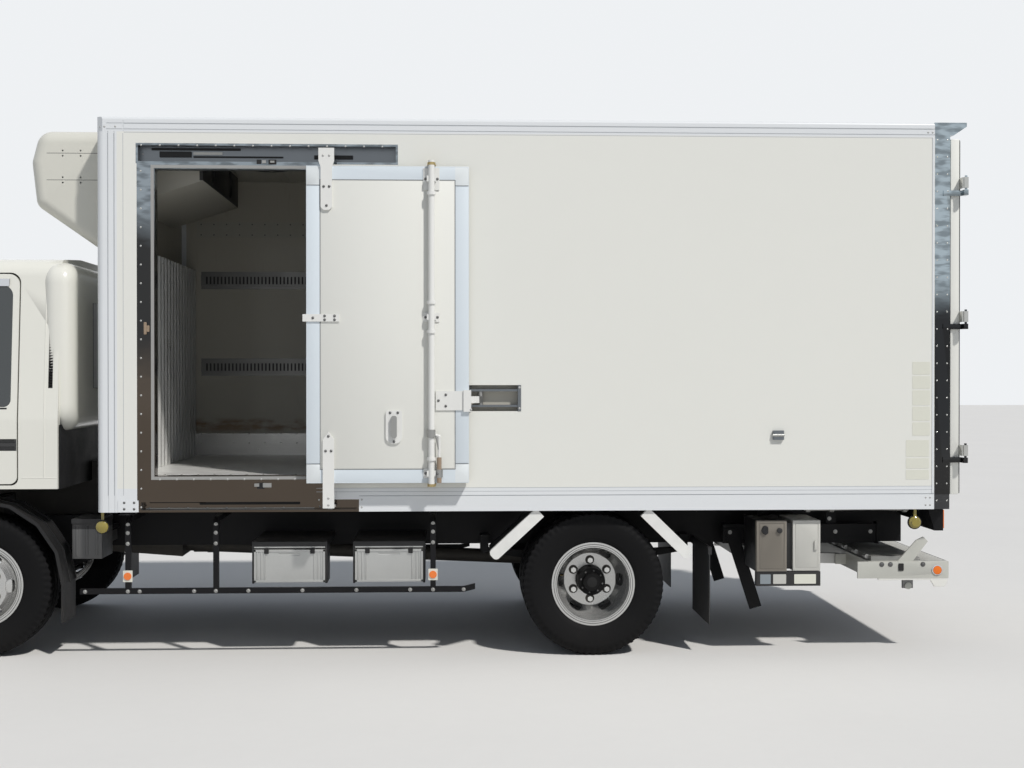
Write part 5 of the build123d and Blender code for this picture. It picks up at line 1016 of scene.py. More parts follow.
FRONT_WHEEL = wheel_paint("front_wheel_paint", FRONT_AXLE_X, (963.5, 1030.0), (700.0, 850.0))
REAR_WHEEL = wheel_paint("rear_wheel_paint", at(WHEELBASE), (813.5, 860.0), (500.0, 700.0))
UNIT = UNIT_WHITE.zoned("unit_cover", *(Zone(DARK_TRIM, z=z, x=(1500.0, 1860.0), y=(700.0, 860.0))
                                        for z in ((2828.5, 2831.5), (2677.5, 2680.5))))
CAB_PANEL = CAB_WHITE.zoned("cab_panel", Zone(MOULD_BLACK, x=(at(416.2), at(391.8)), z=(1504.5, 1845.5),
                                              y=(0.0, 992.0)))
VAPOUR_UNIT = SHADED_LINING_TOP.zoned("evaporator_cover",
                               Zone(MOULD_BLACK, x=(at(1201.0), at(1180.0)), z=(2700.0, 2900.0)))
LIGHTS = CLEAR.zoned("headlamp_set", Zone(AMBER, y=(760.0, 830.0)))
MIRROR_SET = MOULD_BLACK.zoned("mirror_set",
                               Zone(MIRROR, x=(3100.0, 3118.5), y=(1060.0, 1284.0), z=(1300.0, 1950.0)))

DRESSED = (
    (WALL_PANEL, "box_wall_left box_wall_right"), (REAR_DOOR, "rear_door_left rear_door_right"),
    (WALL_WHITE.zoned("front_panel", Zone(SHADED_LINING, x=(1440.0, 1518.0))), "box_wall_front"),
    (WALL_WHITE.zoned("roof_panel", Zone(SHADED_LINING_TOP, z=(2900.0, 2990.0))), "box_roof"),
    (RAIL_WHITE, "edge_rails"), (SLIDER, "sliding_door"), (GEAR, "sliding_door_fittings"),
    (BRIGHT, "rear_door_fittings_left rear_door_fittings_right"), (PORTAL, "rear_portal"),
    (SURROUND, "door_surround"), (CAB_PANEL, "cab_shell"), (DOOR_PAINT, "cab_door_left cab_door_right"),
    (GLASS, "cab_glass cab_door_glass_left cab_door_glass_right"), (DARK_TRIM, "cab_interior"),
    (MOULD_BLACK, "front_grille front_mudguards"), (LIGHTS, "headlamps"), (MIRROR_SET, "mirrors"),
    (CAB_WHITE, "bumper"), (DECK, "box_floor"), (BULKHEAD, "bulkhead_lining"), (UNIT, "cooling_unit"),
    (RAIL_METAL.zoned("rails_and_kick", Zone(KICK, z=(1000.0, 1400.0))), "lashing_rails"),
    (VAPOUR_UNIT, "evaporator"), (ZINC, "exhaust"), (TANK_GREY, "fuel_tank"), (BOXES, "side_boxes"),
    (IRON, "front_axle_beam rear_axle knuckle_left knuckle_right engine_block"),
    (MUDGUARDS, "rear_mudguards"), (FRONT_WHEEL, "front_wheel_left front_wheel_right"),
    (REAR_WHEEL, "rear_wheels_left rear_wheels_right"), (CABINET, "lift_cabinet"),
    (LIFT_STEEL, "lift_carriage lift_arms"), (PLATFORM, "lift_platform"), (LAMPS, "marker_lamps"),
    (SEAT, "seats"), (TYRE_BLACK, "front_tyre_left front_tyre_right rear_tyres_left rear_tyres_right"),
)
NODE_FINISH = {name: finish for finish, names in DRESSED for name in names.split()}


def shading_group() -> bpy.types.NodeTree:
    """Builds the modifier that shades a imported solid: doubles merged, faces smooth, steep edges sharp.

    Returns:
        The group.
    """
    tree = bpy.data.node_groups.new("solid_shading", "GeometryNodeTree")
    tree.interface.new_socket("Geometry", in_out="INPUT", socket_type="NodeSocketGeometry")
    tree.interface.new_socket("Geometry", in_out="OUTPUT", socket_type="NodeSocketGeometry")
    w = Wiring(tree)
    source = tree.nodes.new("NodeGroupInput")
    sink = tree.nodes.new("NodeGroupOutput")
    merged = w.add("GeometryNodeMergeByDistance", {}, {"Geometry": source.outputs[0], "Distance": WELD})
    smooth = w.add("GeometryNodeSetShadeSmooth", {"domain": "FACE"}, {0: merged.outputs[0]})
    angle = w.add("GeometryNodeInputMeshEdgeAngle").outputs["Unsigned Angle"]
    sharp = w.add("FunctionNodeCompare", {"operation": "GREATER_THAN"}, {0: angle, 1: PACKED_ANGLE})
    edges = w.add("GeometryNodeSetShadeSmooth", {"domain": "EDGE"},
                  {0: smooth.outputs[0], "Selection": sharp.outputs[0], "Shade Smooth": False})
    tree.links.new(edges.outputs[0], sink.inputs[0])
    return tree


@dataclass
class Solids:
    """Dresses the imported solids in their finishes."""

    bevel: dict[str, float] = field(default_factory=lambda: {
        "sliding_door": 3.0, "rear_door_left": 4.0, "rear_door_right": 4.0, "side_boxes": 3.0, "bumper": 8.0,
        "lift_cabinet": 4.0, "lift_platform": 3.0, "rear_portal": 2.0, "cooling_unit": 12.0,
        "evaporator": 10.0,
    })

    def dress(self) -> None:
        """Gives every node its material, smooth shading and, where listed, bevelled edges."""
        shading = shading_group()
        for name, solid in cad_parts.items():
            finish = NODE_FINISH.get(name, FRAME_BLACK)
            solid.data.materials.clear()
            solid.data.materials.append(finish.material())
            if name in self.bevel:
                weld = solid.modifiers.new("weld", "WELD")
                weld.merge_threshold = WELD
                bevel = solid.modifiers.new("edges", "BEVEL")
                bevel.width = self.bevel[name] * MM
                bevel.segments = 2
                bevel.angle_limit = math.radians(40)
            shade = solid.modifiers.new("shading", "NODES")
            shade.node_group = shading
            LOG.info("solid %s in %s", name, finish.name)


def stand(shape: Shape, name: str, finish: Finish, body: str = "truck",
          replaces: Sequence[str] = (), smooth: float = SMOOTH_ANGLE) -> Piece:
    """Puts a shape into the scene as a piece that rides on a body.

    Args:
        shape: Its points in millimetres and its faces.
        name: Name of the piece.
        finish: What it is dressed in.
        body: The body that it moves with.
        replaces: The solids that it stands for.
        smooth: The angle past which an edge is sharp.

    Returns:
        The object.
    """
    mesh = bpy.data.meshes.new(name)
    sizes = np.concatenate([np.full(len(rows), rows.shape[1]) for rows in shape.faces])
    corners = np.concatenate([rows.ravel() for rows in shape.faces]).astype(np.int32)
    mesh.vertices.add(len(shape.points))
    mesh.vertices.foreach_set("co", (shape.points * MM).astype(np.float32).ravel())
    mesh.loops.add(len(corners))
    mesh.loops.foreach_set("vertex_index", corners)
    mesh.polygons.add(len(sizes))
    mesh.polygons.foreach_set("loop_start", np.concatenate([[0], np.cumsum(sizes)[:-1]]).astype(np.int32))
    mesh.update(calc_edges=True)
    mesh.validate()
    work = bmesh.new()
    work.from_mesh(mesh)
    bmesh.ops.remove_doubles(work, verts=work.verts, dist=0.000005)
    bmesh.ops.recalc_face_normals(work, faces=work.faces)
    work.to_mesh(mesh)
    work.free()
    mesh.polygons.foreach_set("use_smooth", np.ones(len(mesh.polygons), bool))
    mesh.set_sharp_from_angle(angle=smooth)
    mesh.materials.append(finish.material())
    piece = placed(name, mesh)
    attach(piece, body)
    if replaces:
        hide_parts(*replaces)
    LOG.info("piece %s on %s, %d faces", name, body, len(mesh.polygons))
    return piece


def bake(piece: Piece, finish: Finish) -> None:
    """Replaces a piece's mesh by what its modifiers give, shaded smooth in one finish.

    Args:
        piece: The piece, whose modifiers are then gone.
        finish: What its new mesh is dressed in.
    """
    graph = bpy.context.evaluated_depsgraph_get()
    mesh = bpy.data.meshes.new_from_object(piece.evaluated_get(graph))
    piece.modifiers.clear()
    mesh.materials.clear()
    mesh.materials.append(finish.material())
    mesh.polygons.foreach_set("material_index", np.zeros(len(mesh.polygons), np.int32))
    mesh.polygons.foreach_set("use_smooth", np.ones(len(mesh.polygons), bool))
    piece.data = mesh


@dataclass
class Tyres:
    """Road tyres with shoulder blocks, circumferential grooves and rings on the walls."""

    radius: float = 400.0
    half: float = 112.0
    rim: float = 235.0
    bead: float = 88.0
    notches: int = 64
    groove: float = 9.0
    groove_places: Triple = (-58.0, 0.0, 58.0)
    shoulder: float = 76.0
    edge_drop: float = 26.0
    shoulder_drop: float = 52.0
    wall_points: int = 24
    tread_points: int = 49
    sipe_depth: float = 4.0
    front_y: float = 835.0
    twin_y: Span = (927.5, 672.5)

    def wall(self) -> np.ndarray:
        """Draws the section from the outer bead over the tread to the inner one: a quarter ellipse for each
        wall with small rings on it, and a slightly crowned tread.

        Returns:
            Its (radius, y) points.
        """
        t = np.linspace(0, 1, self.wall_points)
        radius = self.rim + 3 + (self.radius - self.edge_drop - self.rim - 3) * t
        bulge = self.bead + (self.half - self.bead) * np.sin(np.minimum(t * 1.25, 1.0) * math.pi / 2) ** 0.8
        bulge -= 5.0 * np.clip((t - 0.8) / 0.2, 0, 1) ** 2
        ring = 1.6 * np.exp(-((t - 0.16) / 0.02) ** 2) + 1.4 * np.exp(-((t - 0.55) / 0.012) ** 2)
        ring += 1.2 * np.exp(-((t - 0.80) / 0.015) ** 2)
        side = np.stack([radius, bulge + ring], 1)
        y = np.linspace(self.half - 10, -self.half + 10, self.tread_points)
        crown = self.radius - 6.0 * (y / self.half) ** 2
        tread = np.stack([crown, y], 1)
        return np.vstack([side, tread, side[::-1] * [1, -1]])

    def one(self, centre: Sequence[float]) -> Shape:
        """Works out one tyre: the section goes round the axle, and the tread's radius drops in three waved
        grooves and in the notches of the shoulders.

        Args:
            centre: The middle of the tyre.

        Returns:
            The closed tyre.
        """
        section = self.wall()
        steps = self.notches * 6
        angle = np.linspace(0, 2 * math.pi, steps, endpoint=False)[:, None]
        r, y = section[:, 0][None], section[:, 1][None]
        phase = angle * self.notches
        on_tread = r > self.radius - self.edge_drop + 2
        wave = 3.5 * np.sin(phase)
        depth = np.zeros((steps, len(section)))
        for place in self.groove_places:
            depth = np.maximum(depth, self.groove * np.clip(1.6 - np.abs(y - place - wave) / 4.0, 0, 1))
        turn = phase / (2 * math.pi) + np.where(y > 0, 0.0, 0.5)
        gap = np.abs((turn % 1.0) - 0.5) < 0.17
        depth = np.where(gap & (np.abs(y) > self.shoulder), self.groove * 0.7, depth)
        sipe = (np.abs(((turn * 2) % 1.0) - 0.5) < 0.12) & (np.abs(y) < 50) & (np.abs(y) > 12)
        depth = np.where(sipe, np.maximum(depth, self.sipe_depth), depth)
        shoulder = gap & (r > self.radius - self.shoulder_drop) & ~on_tread
        squeeze = np.where(shoulder, 3.0 * (r - self.radius + self.shoulder_drop) / self.edge_drop, 0.0)
        radius = r - np.where(on_tread, depth, 0.0)
        width = np.sign(y) * (np.abs(y) - np.clip(squeeze, 0, 7))
        flat = np.broadcast_to(width, radius.shape)
        points = np.stack([radius * np.cos(angle), flat, radius * np.sin(angle)], -1)
        return grid(points + np.asarray(centre, float), close_u=True, close_v=True)

    def build(self) -> None:
        """Makes the four sets of tyres."""
        for side, word in SIDES:
            front = self.one((FRONT_AXLE_X, side * self.front_y, AXLE_Z))
            twins = joined([self.one((at(WHEELBASE), side * y, AXLE_Z)) for y in self.twin_y])
            for shape, place, wheel, tyre in ((front, "front", "front_wheel", "front_tyre"),
                                              (twins, "rear", "rear_wheels", "rear_tyres")):
                stand(shape, f"tread_{place}_{word}", TYRE_BLACK, f"{wheel}_{word}",
                      [f"{tyre}_{word}"], SOFT_ANGLE)


@dataclass
class Skin:
    """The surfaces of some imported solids, on which small pieces are set by a straight line from outside."""

    nodes: Sequence[str]

    def __post_init__(self) -> None:
        """Gathers the solids' triangles into one search tree."""
        points, faces, count = [], [], 0
        for name in self.nodes:
            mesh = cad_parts[name].data
            points.extend(points_of(mesh).tolist())
            faces.extend([[corner + count for corner in polygon.vertices] for polygon in mesh.polygons])
            count += len(mesh.vertices)
        self.tree = BVHTree.FromPolygons(points, faces)

    def level(self, u: float, v: float, face: Face = Face.SIDE, sign: int = 1) -> float | None:
        """Finds how far out the surface is at one place in a plane.

        Args:
            u: The first coordinate in the plane.
            v: The second one.
            face: The plane.
            sign: 1 to look from the high side of the depth axis, -1 from the low side.

        Returns:
            The coordinate along the depth axis, or nothing where there is no surface.
        """
        i, j, k = face.value
        start, way = [0.0, 0.0, 0.0], [0.0, 0.0, 0.0]
        start[i], start[j], start[k] = u * MM, v * MM, 8.0 * sign
        way[k] = -float(sign)
        spot = self.tree.ray_cast(start, way)[0]
        return None if spot is None else spot[k] / MM

    def set_on(self, shape: Shape, places: Rows, face: Face = Face.SIDE, sign: int = 1,
               sink: float = 0.0) -> Shape:
        """Copies a shape, which stands on the origin, onto the surface at each place that has one.

        Args:
            shape: The shape to copy.
            places: The (u, v) of each copy in the face's plane.
            face: The plane.
            sign: The side that the copies stand on.
            sink: How deep each copy goes in.

        Returns:
            The copies as one shape.
        """
        i, j, k = face.value
        offsets = []
        for u, v in places:
            level = self.level(u, v, face, sign)
            if level is not None:
                offset = [0.0, 0.0, 0.0]
                offset[i], offset[j], offset[k] = u, v, level - sink * sign
                offsets.append(offset)
        return shape.copies(offsets)


@dataclass
class SideDoor:
    """Small pieces of the sliding door: bolts, screws, collars of the lock rod, lip, and thin dark lines that
    paint the shade in its grooves.
    """

    rod_back: float = 2522.0
    face: float = SLIDER_FACE
    skin: Skin = field(default_factory=lambda: Skin(["sliding_door", "sliding_door_fittings", "door_surround",
                                                     "box_wall_left"]))

    def build(self) -> None:
        """Makes the bolts, the screws, the collars, the lip and the lines of painted groove shade."""
        dark = [(1936, 2606), (1966, 2606), (1951, 2502), (1960, 1244), (1945, 1164), (1975, 1164),
                (2296, 1372), (2338, 1372), (2317, 1214), (2560, 1438), (2600, 1470), (2600, 1408),
                (1876, 1890), (1940, 1880), (1940, 1901), (1994, 1880), (1994, 1901)]
        faint = [(1932, 2774), (1966, 2774), (1960, 905), (1960, 868)]
        rod = [(self.rod_back + side * 33, z) for z in (1040, 1894.5, 2650) for side in (-1, 1)]
        pocket = [(2738, 1388), (2738, 1511), (2880, 1386), (3009, 1392), (3009, 1508), (2880, 1514)]
        bolt = head(7.5, 5.0)
        stand(self.skin.set_on(bolt, [(at(b), z) for b, z in dark + rod]), "slider_bolts", DARK_HEAD)
        stand(self.skin.set_on(head(6.5, 3.0), [(at(b), z) for b, z in faint + pocket]), "slider_screws",
              PALE_HEAD)
        centres = [(at(self.rod_back), 1221.0, z) for z in (1120.0, 1815.0, 1975.0, 2570.0)]
        collars = lathes([(18, -9), (25, -9), (25, 9), (18, 9)], centres, 2, 28)
        stand(collars, "lock_rod_collars", FITTING_WHITE)
        knuckle = tube([(at(2564), 1229, 1120), (at(2564), 1229, 1180), (at(2548), 1226, 1246)], 8.0, 12, 20)
        stand(knuckle, "lock_lever_neck", ZINC)
        self.lips()
        self.seams()

    def seams(self) -> None:
        """Makes thin dark lines that paint the shade in the grooves between the panel, its edge strips and
        their corner pieces.
        """
        x0, x1, z0, z1 = at(2652), at(1914), 1061.0, 2645.0
        near, far = self.face - 1.8, self.face + 0.25
        bars = [((x0, x1), (z - 1.8, z + 1.8)) for z in (z0, z1)]
        bars += [((x - 1.8, x + 1.8), (z0, z1)) for x in (x0, x1)]
        bars += [((a, b), (z - 1.6, z + 1.6)) for z in (1091.0, 2615.0)
                 for a, b in ((at(2726), x0), (x1, at(1840)))]
        stand(joined([block(x, (near, far), z, 1.0, 0.2) for x, z in bars]), "slider_groove_shades", GROOVE_SHADE)

    def lips(self) -> None:
        """Makes the thin rolled lip round the face: a small tube along the outline of the door."""
        x0, x1, z0, z1 = at(2724), at(1842), 989.0, 2717.0
        path = rounded(box(x0, x1, z0, z1), 8.0, 4)
        ring = np.stack([path[:, 0], np.full(len(path), self.face - 2.5), path[:, 1]], 1)
        angle = np.linspace(0, 2 * math.pi, 8, endpoint=False)
        middle = np.array([(x0 + x1) / 2, self.face, (z0 + z1) / 2])
        out = ring - middle
        out[:, 1] = 0.0
        out /= np.linalg.norm(out, axis=1, keepdims=True)
        points = ring[:, None] + 3.2 * (np.cos(angle)[None, :, None] * out[:, None]
                                        + np.sin(angle)[None, :, None] * np.array([0.0, 1.0, 0.0]))
        stand(grid(points, close_u=True, close_v=True), "slider_lip", FRAME_WHITE)


@dataclass
class Doorway:
    """Pieces of the stainless frame round the doorway: rivets, blocks of the tracks, latch, sill plate."""

    pitch: float = 105.0
    floor: float = 1060.0
    skin: Skin = field(default_factory=lambda: Skin(["door_surround", "box_floor", "box_wall_left"]))

    def build(self) -> None:
        """Makes the rivets, the blocks of the two tracks, the sill and the small latch."""
        places = spots((927,), line(850, 2800, self.pitch)) + spots(line(960, 1700, self.pitch), (840,))
        places += spots(line(1030, 1860, 92), (1004,)) + spots(line(930, 2250, self.pitch), (2840,))
        stand(self.skin.set_on(head(5.5, 2.6), places), "doorway_rivets", PALE_HEAD)
        for word, finish, bars in self.runs():
            shapes = []
            for near, far, low, high, out in bars:
                level = self.skin.level(at((near + far) / 2), (low + high) / 2) or self.floor
                shapes.append(bar((near, far), (level - 1, level + out), (low, high), 2, 0.5))
            stand(joined(shapes), f"track_{word}", finish)
        grip = bar((960, 944), (1103.2, 1112), (1800, 1868), 4, 2)
        tongue = bar((975, 960), (1103.2, 1109), (1815, 1850), 3, 1)
        stand(grip + tongue, "doorway_latch", TAN)
        stand(bar((1006, 1876), (940, 1024), (1015.2, 1019), 4, 1.2, Face.PLAN), "sill_plate", DECK)
        heads = head(6, 2.5, 2).copies([(x, y, 1019.0) for x, y in spots(line(1030, 1850, 92), (956, 1010))])
        stand(heads, "sill_rivets", BRIGHT)

    def runs(self) -> list[tuple[str, Finish, list[tuple[float, ...]]]]:
        """Lists the pieces in the upper and lower track: dark blocks, partly black parts and partly painted
        shade, and bright metal pieces, one of them a painted highlight.

        Returns:
            Names and finishes, each with its rows (from b, to b, low, high, how far out).
        """
        # Dark rows: the black roller carriage and dark parts of the latch gear, and painted shade along the
        # header's slot and in the sill's lower opening.
        dark = [(975, 1465, 2820, 2834, 2), (1020, 1195, 2782, 2814, 9), (1205, 1700, 2780, 2790, 3),
                (1870, 2085, 2776, 2798, 6), (1560, 1585, 2740, 2764, 4), (1625, 1668, 2738, 2764, 4),
                (960, 1270, 868, 884, 1), (1235, 1790, 858, 886, 1), (1560, 1600, 950, 984, 3)]
        # Bright rows: chrome parts of the latch gear; the long thin row along the sill's foot is a painted
        # highlight.
        bright = [(1205, 1365, 2796, 2812, 6), (1590, 1612, 2744, 2760, 6), (1635, 1658, 2746, 2758, 8),
                  (1545, 1572, 962, 980, 6), (1592, 1640, 958, 982, 8), (940, 1870, 836, 841, 1.5)]
        return [("shade", MOULD_BLACK, dark), ("catches_and_highlight", ZINC, bright)]


@dataclass
class CargoBody:
    """Pieces on the outside of the insulated body: screws, blank labels, lamps, catch and thin lines."""

    skin: Skin = field(default_factory=lambda: Skin(["box_wall_left", "edge_rails", "rear_portal",
                                                     "door_surround"]))

    def build(self) -> None:
        """Makes the screws and rivets on both sides, then the labels, lamps, catch and lines."""
        bracket = self.skin.set_on(head(7.0, 3.0), spots((835, 889), (841, 876)))
        stand(bracket, "front_bracket_screws", DARK_HEAD)
        places = spots((705, 731), (2940,)) + spots((1900, 1940, 2135, 5300, 5325), (846, 888))
        screws = self.skin.set_on(head(5.5, 2.4), places + spots((790, 5310, 5335), (2941,)))
        stand(screws.both(), "rail_screws", PALE_HEAD)
        rivets = self.skin.set_on(head(4.6, 2.2), spots((5362, 5420), line(870, 2900, 98)))
        stand(rivets.both(), "portal_rivets", BRIGHT)
        self.labels()
        self.lamps()
        self.catch()
        self.joints()
        strip = bar((5334, 5345), (1100.2, 1103), (912, 2912), 1.5, 0.8)
        stand(strip.both(), "rear_edge_strip", RAIL_WHITE)

    def joints(self) -> None:
        """Makes the thin shadow lines along the steps of the roof rail, the skirt and the front post."""
        runs = []
        for start, heights in ((836, (2926, 2958, 2910)), (1885, (909, 932, 952))):
            for z in heights:
                level = self.skin.level(at(4200), z) or HALF_BODY
                runs.append(bar((start, 5336), (level - 1, level + 0.3), (z - 1.4, z + 1.4), 1, 0.2))
        for b in (747, 781, 831):
            level = self.skin.level(at(b + 6), 1800) or HALF_BODY
            runs.append(bar((b - 1.4, b + 1.4), (level - 1, level + 0.3), (915, 2905), 1, 0.2))
        stand(joined(runs).both(), "rail_shadow_lines", PALE_GROOVE_SHADE)

    def lamps(self) -> None:
        """Makes the round yellow lenses below both ends of the body, each in a black cup."""
        centres = ((at(703.0), 1046.0, 738.0), (at(5247.0), 1064.0, 745.0))
        cups = lathes([(30, -12), (39, -4), (39, 6), (35, 8)], centres, 1, 36)
        lenses = lathes([(35, 6), (33, 13), (24, 19), (10, 22), (0.5, 22.5)], centres, 1, 36)
        stand(cups.both(), "lamp_cups", MOULD_BLACK)
        stand(lenses.both(), "lamp_domes", YELLOW)

    def labels(self) -> None:
        """Makes the blank labels near the rear end: thin plates in two columns."""
        columns = (((5222, 5323), ((1580, 1652), (1500, 1572), (1408, 1492), (1320, 1400), (1236, 1312))),
                   ((5186, 5318), ((1118, 1212), (1052, 1110), (990, 1044))))
        plates = [bar(backs, (1100.1, 1101.0), z, 4, 0.3) for backs, heights in columns for z in heights]
        stand(joined(plates), "side_labels", LABEL)

    def catch(self) -> None:
        """Makes the spring pin of the open door's catch on the wall, with its coils."""
        pin = lathe([(6, -34), (7.5, -32), (7.5, 32), (6, 34)], (at(4460), 1114, 1241), 0, 18)
        coil = [lathe([(9.5, x - 1.6), (9.5, x + 1.6)], (at(4460), 1114, 1241), 0, 16)
                for x in line(-20, 20, 6)]
        stand(pin + joined(coil), "wall_catch_pin", BRIGHT)


@dataclass
class LoadSpace:
    """Inside of the body: slots of the lashing rails, riveted band, kick plate rivets, ceiling pieces."""

    back: Span = (880.0, 5320.0)
    levels: Span = (1629.0, 2231.0)
    pitch: float = 25.4

    def build(self) -> None:
        """Makes every inner piece on both walls."""
        # The rails' slots are openings: each is a thin black plate that paints the shade inside it.
        slot = plate(rounded(box(-5.5, 5.5, -27, 27), 5.0, 3), -0.4, 0.7, Face.SIDE, 0.2)
        count = int((self.back[1] - 80 - self.back[0]) / self.pitch)
        right = [at(self.back[0] + 60 + i * self.pitch) for i in range(count)]
        left = [x for x in right if x < at(2000)]
        for xs, word in ((right, "right"), (left, "left")):
            slots = joined([slot.copies([(x, LASHING_FACE, level) for x in xs]) for level in self.levels])
            stand(slots.mirrored() if word == "right" else slots, f"rail_slots_{word}", FRAME_BLACK)
        band = bar((5330, 870), (-1024.9, -1023.2), (2532, 2637), 2, 0.5)
        rows = [(x, -1023.2, z) for x, z in spots(line(900, 5300, 88), (2548, 2621))]
        stand(band, "wall_band", SHADED_LINING_TOP.zoned("band_beige_painted_shade"))
        stand(head(5, 2.2).copies(rows), "band_rivets", DARK_HEAD)
        walls = Skin(["lashing_rails", "bulkhead_lining"])
        stand(walls.set_on(head(5, 2.2), spots(line(900, 5300, 110), (1100, 1165))), "kick_rivets", BRIGHT)
        self.ceiling()

    def ceiling(self) -> None:
        """Makes two round lamps with a dark ring and the roof's cross joints."""
        centres = [(at(b), -120.0, 2914.0) for b in (1480.0, 3600.0)]
        ring = [(150, 0), (150, -22), (138, -34), (112, -36), (108, -26), (108, 0)]
        lens = [(107, -14), (107, -26), (80, -36), (40, -41), (0.5, -42)]
        stand(lathes(ring, centres, 2, 48), "lamp_rings", MOULD_BLACK)
        stand(lathes(lens, centres, 2, 48), "lamp_lenses", CLEAR)
        strips = [bar((b - 24, b + 24), (-1020, 1020), (2910.5, 2913.8), 2, 1, Face.END)
                  for b in line(1500, 5100, 900)]
        stand(joined(strips), "ceiling_strips", SHADED_LINING_TOP)


@dataclass
class RearEnd:
    """Rear doors and lamp bar: rubber seals, bolts of the hinges, rivets of the frame and a blank plate."""

    door_face: float = -3280.0

    def build(self) -> None:
        """Makes the pieces of each door on its own body, and those of the frame."""
        for sign, word in SIDES:
            body = f"rear_door_{word}"
            stand(self.seal(sign), f"rear_seal_{word}", RUBBER_SHEET, body)
            skin = Skin([f"rear_door_fittings_{word}", f"rear_door_{word}"])
            bolts = [(sign * y, z + dz) for z in (1155, 1905, 2655) for y in (960, 1010, 1055)
                     for dz in (-16, 16)]
            bolts += [(sign * y, z) for y in (228, 292, 668, 732) for z in (1200, 1310, 1420, 2000, 2500)]
            heads = head(6.5, 4.0, 0, -1)
            stand(skin.set_on(heads, bolts, Face.END, -1, 1.6), f"rear_door_bolts_{word}", DARK_HEAD, body)
        frame_skin = Skin(["rear_portal", "rear_lamp_bar"])
        rivets = [(y, z) for y in (1128, -1128) for z in line(880, 2930, 98)]
        stand(frame_skin.set_on(head(4.6, 2.2, 0, -1), rivets, Face.END, -1), "portal_rear_rivets", BRIGHT)
        plate_back = bar((5436.5, 5439), (-165, 165), (722, 812), 6, 1, Face.END)
        stand(plate_back, "rear_plate_blank", LABEL)
        stand(head(6, 3, 0, -1).copies([(at(5439), y, 798) for y in (-110, 110)]), "rear_plate_screws",
              BRIGHT)

    def seal(self, sign: int) -> Shape:
        """Works out the rubber lip round one door: a flat frame between two rounded outlines.

        Args:
            sign: 1 for the left door, -1 for the right one.

        Returns:
            The lip.
        """
        outer = rounded(box(9.0, 1092.0, 908.0, 2902.0), 12, 4)
        inner = drawn_in(outer, 20.0)
        x = self.door_face - 0.2
        rows = []
        for ring, depth in ((outer, 0.0), (outer, -5.0), (inner, -5.0), (inner, 0.0)):
            rows.append(np.stack([np.full(len(ring), x + depth), ring[:, 0] * sign, ring[:, 1]], 1))
        return grid(np.array(rows), close_u=True, close_v=True)


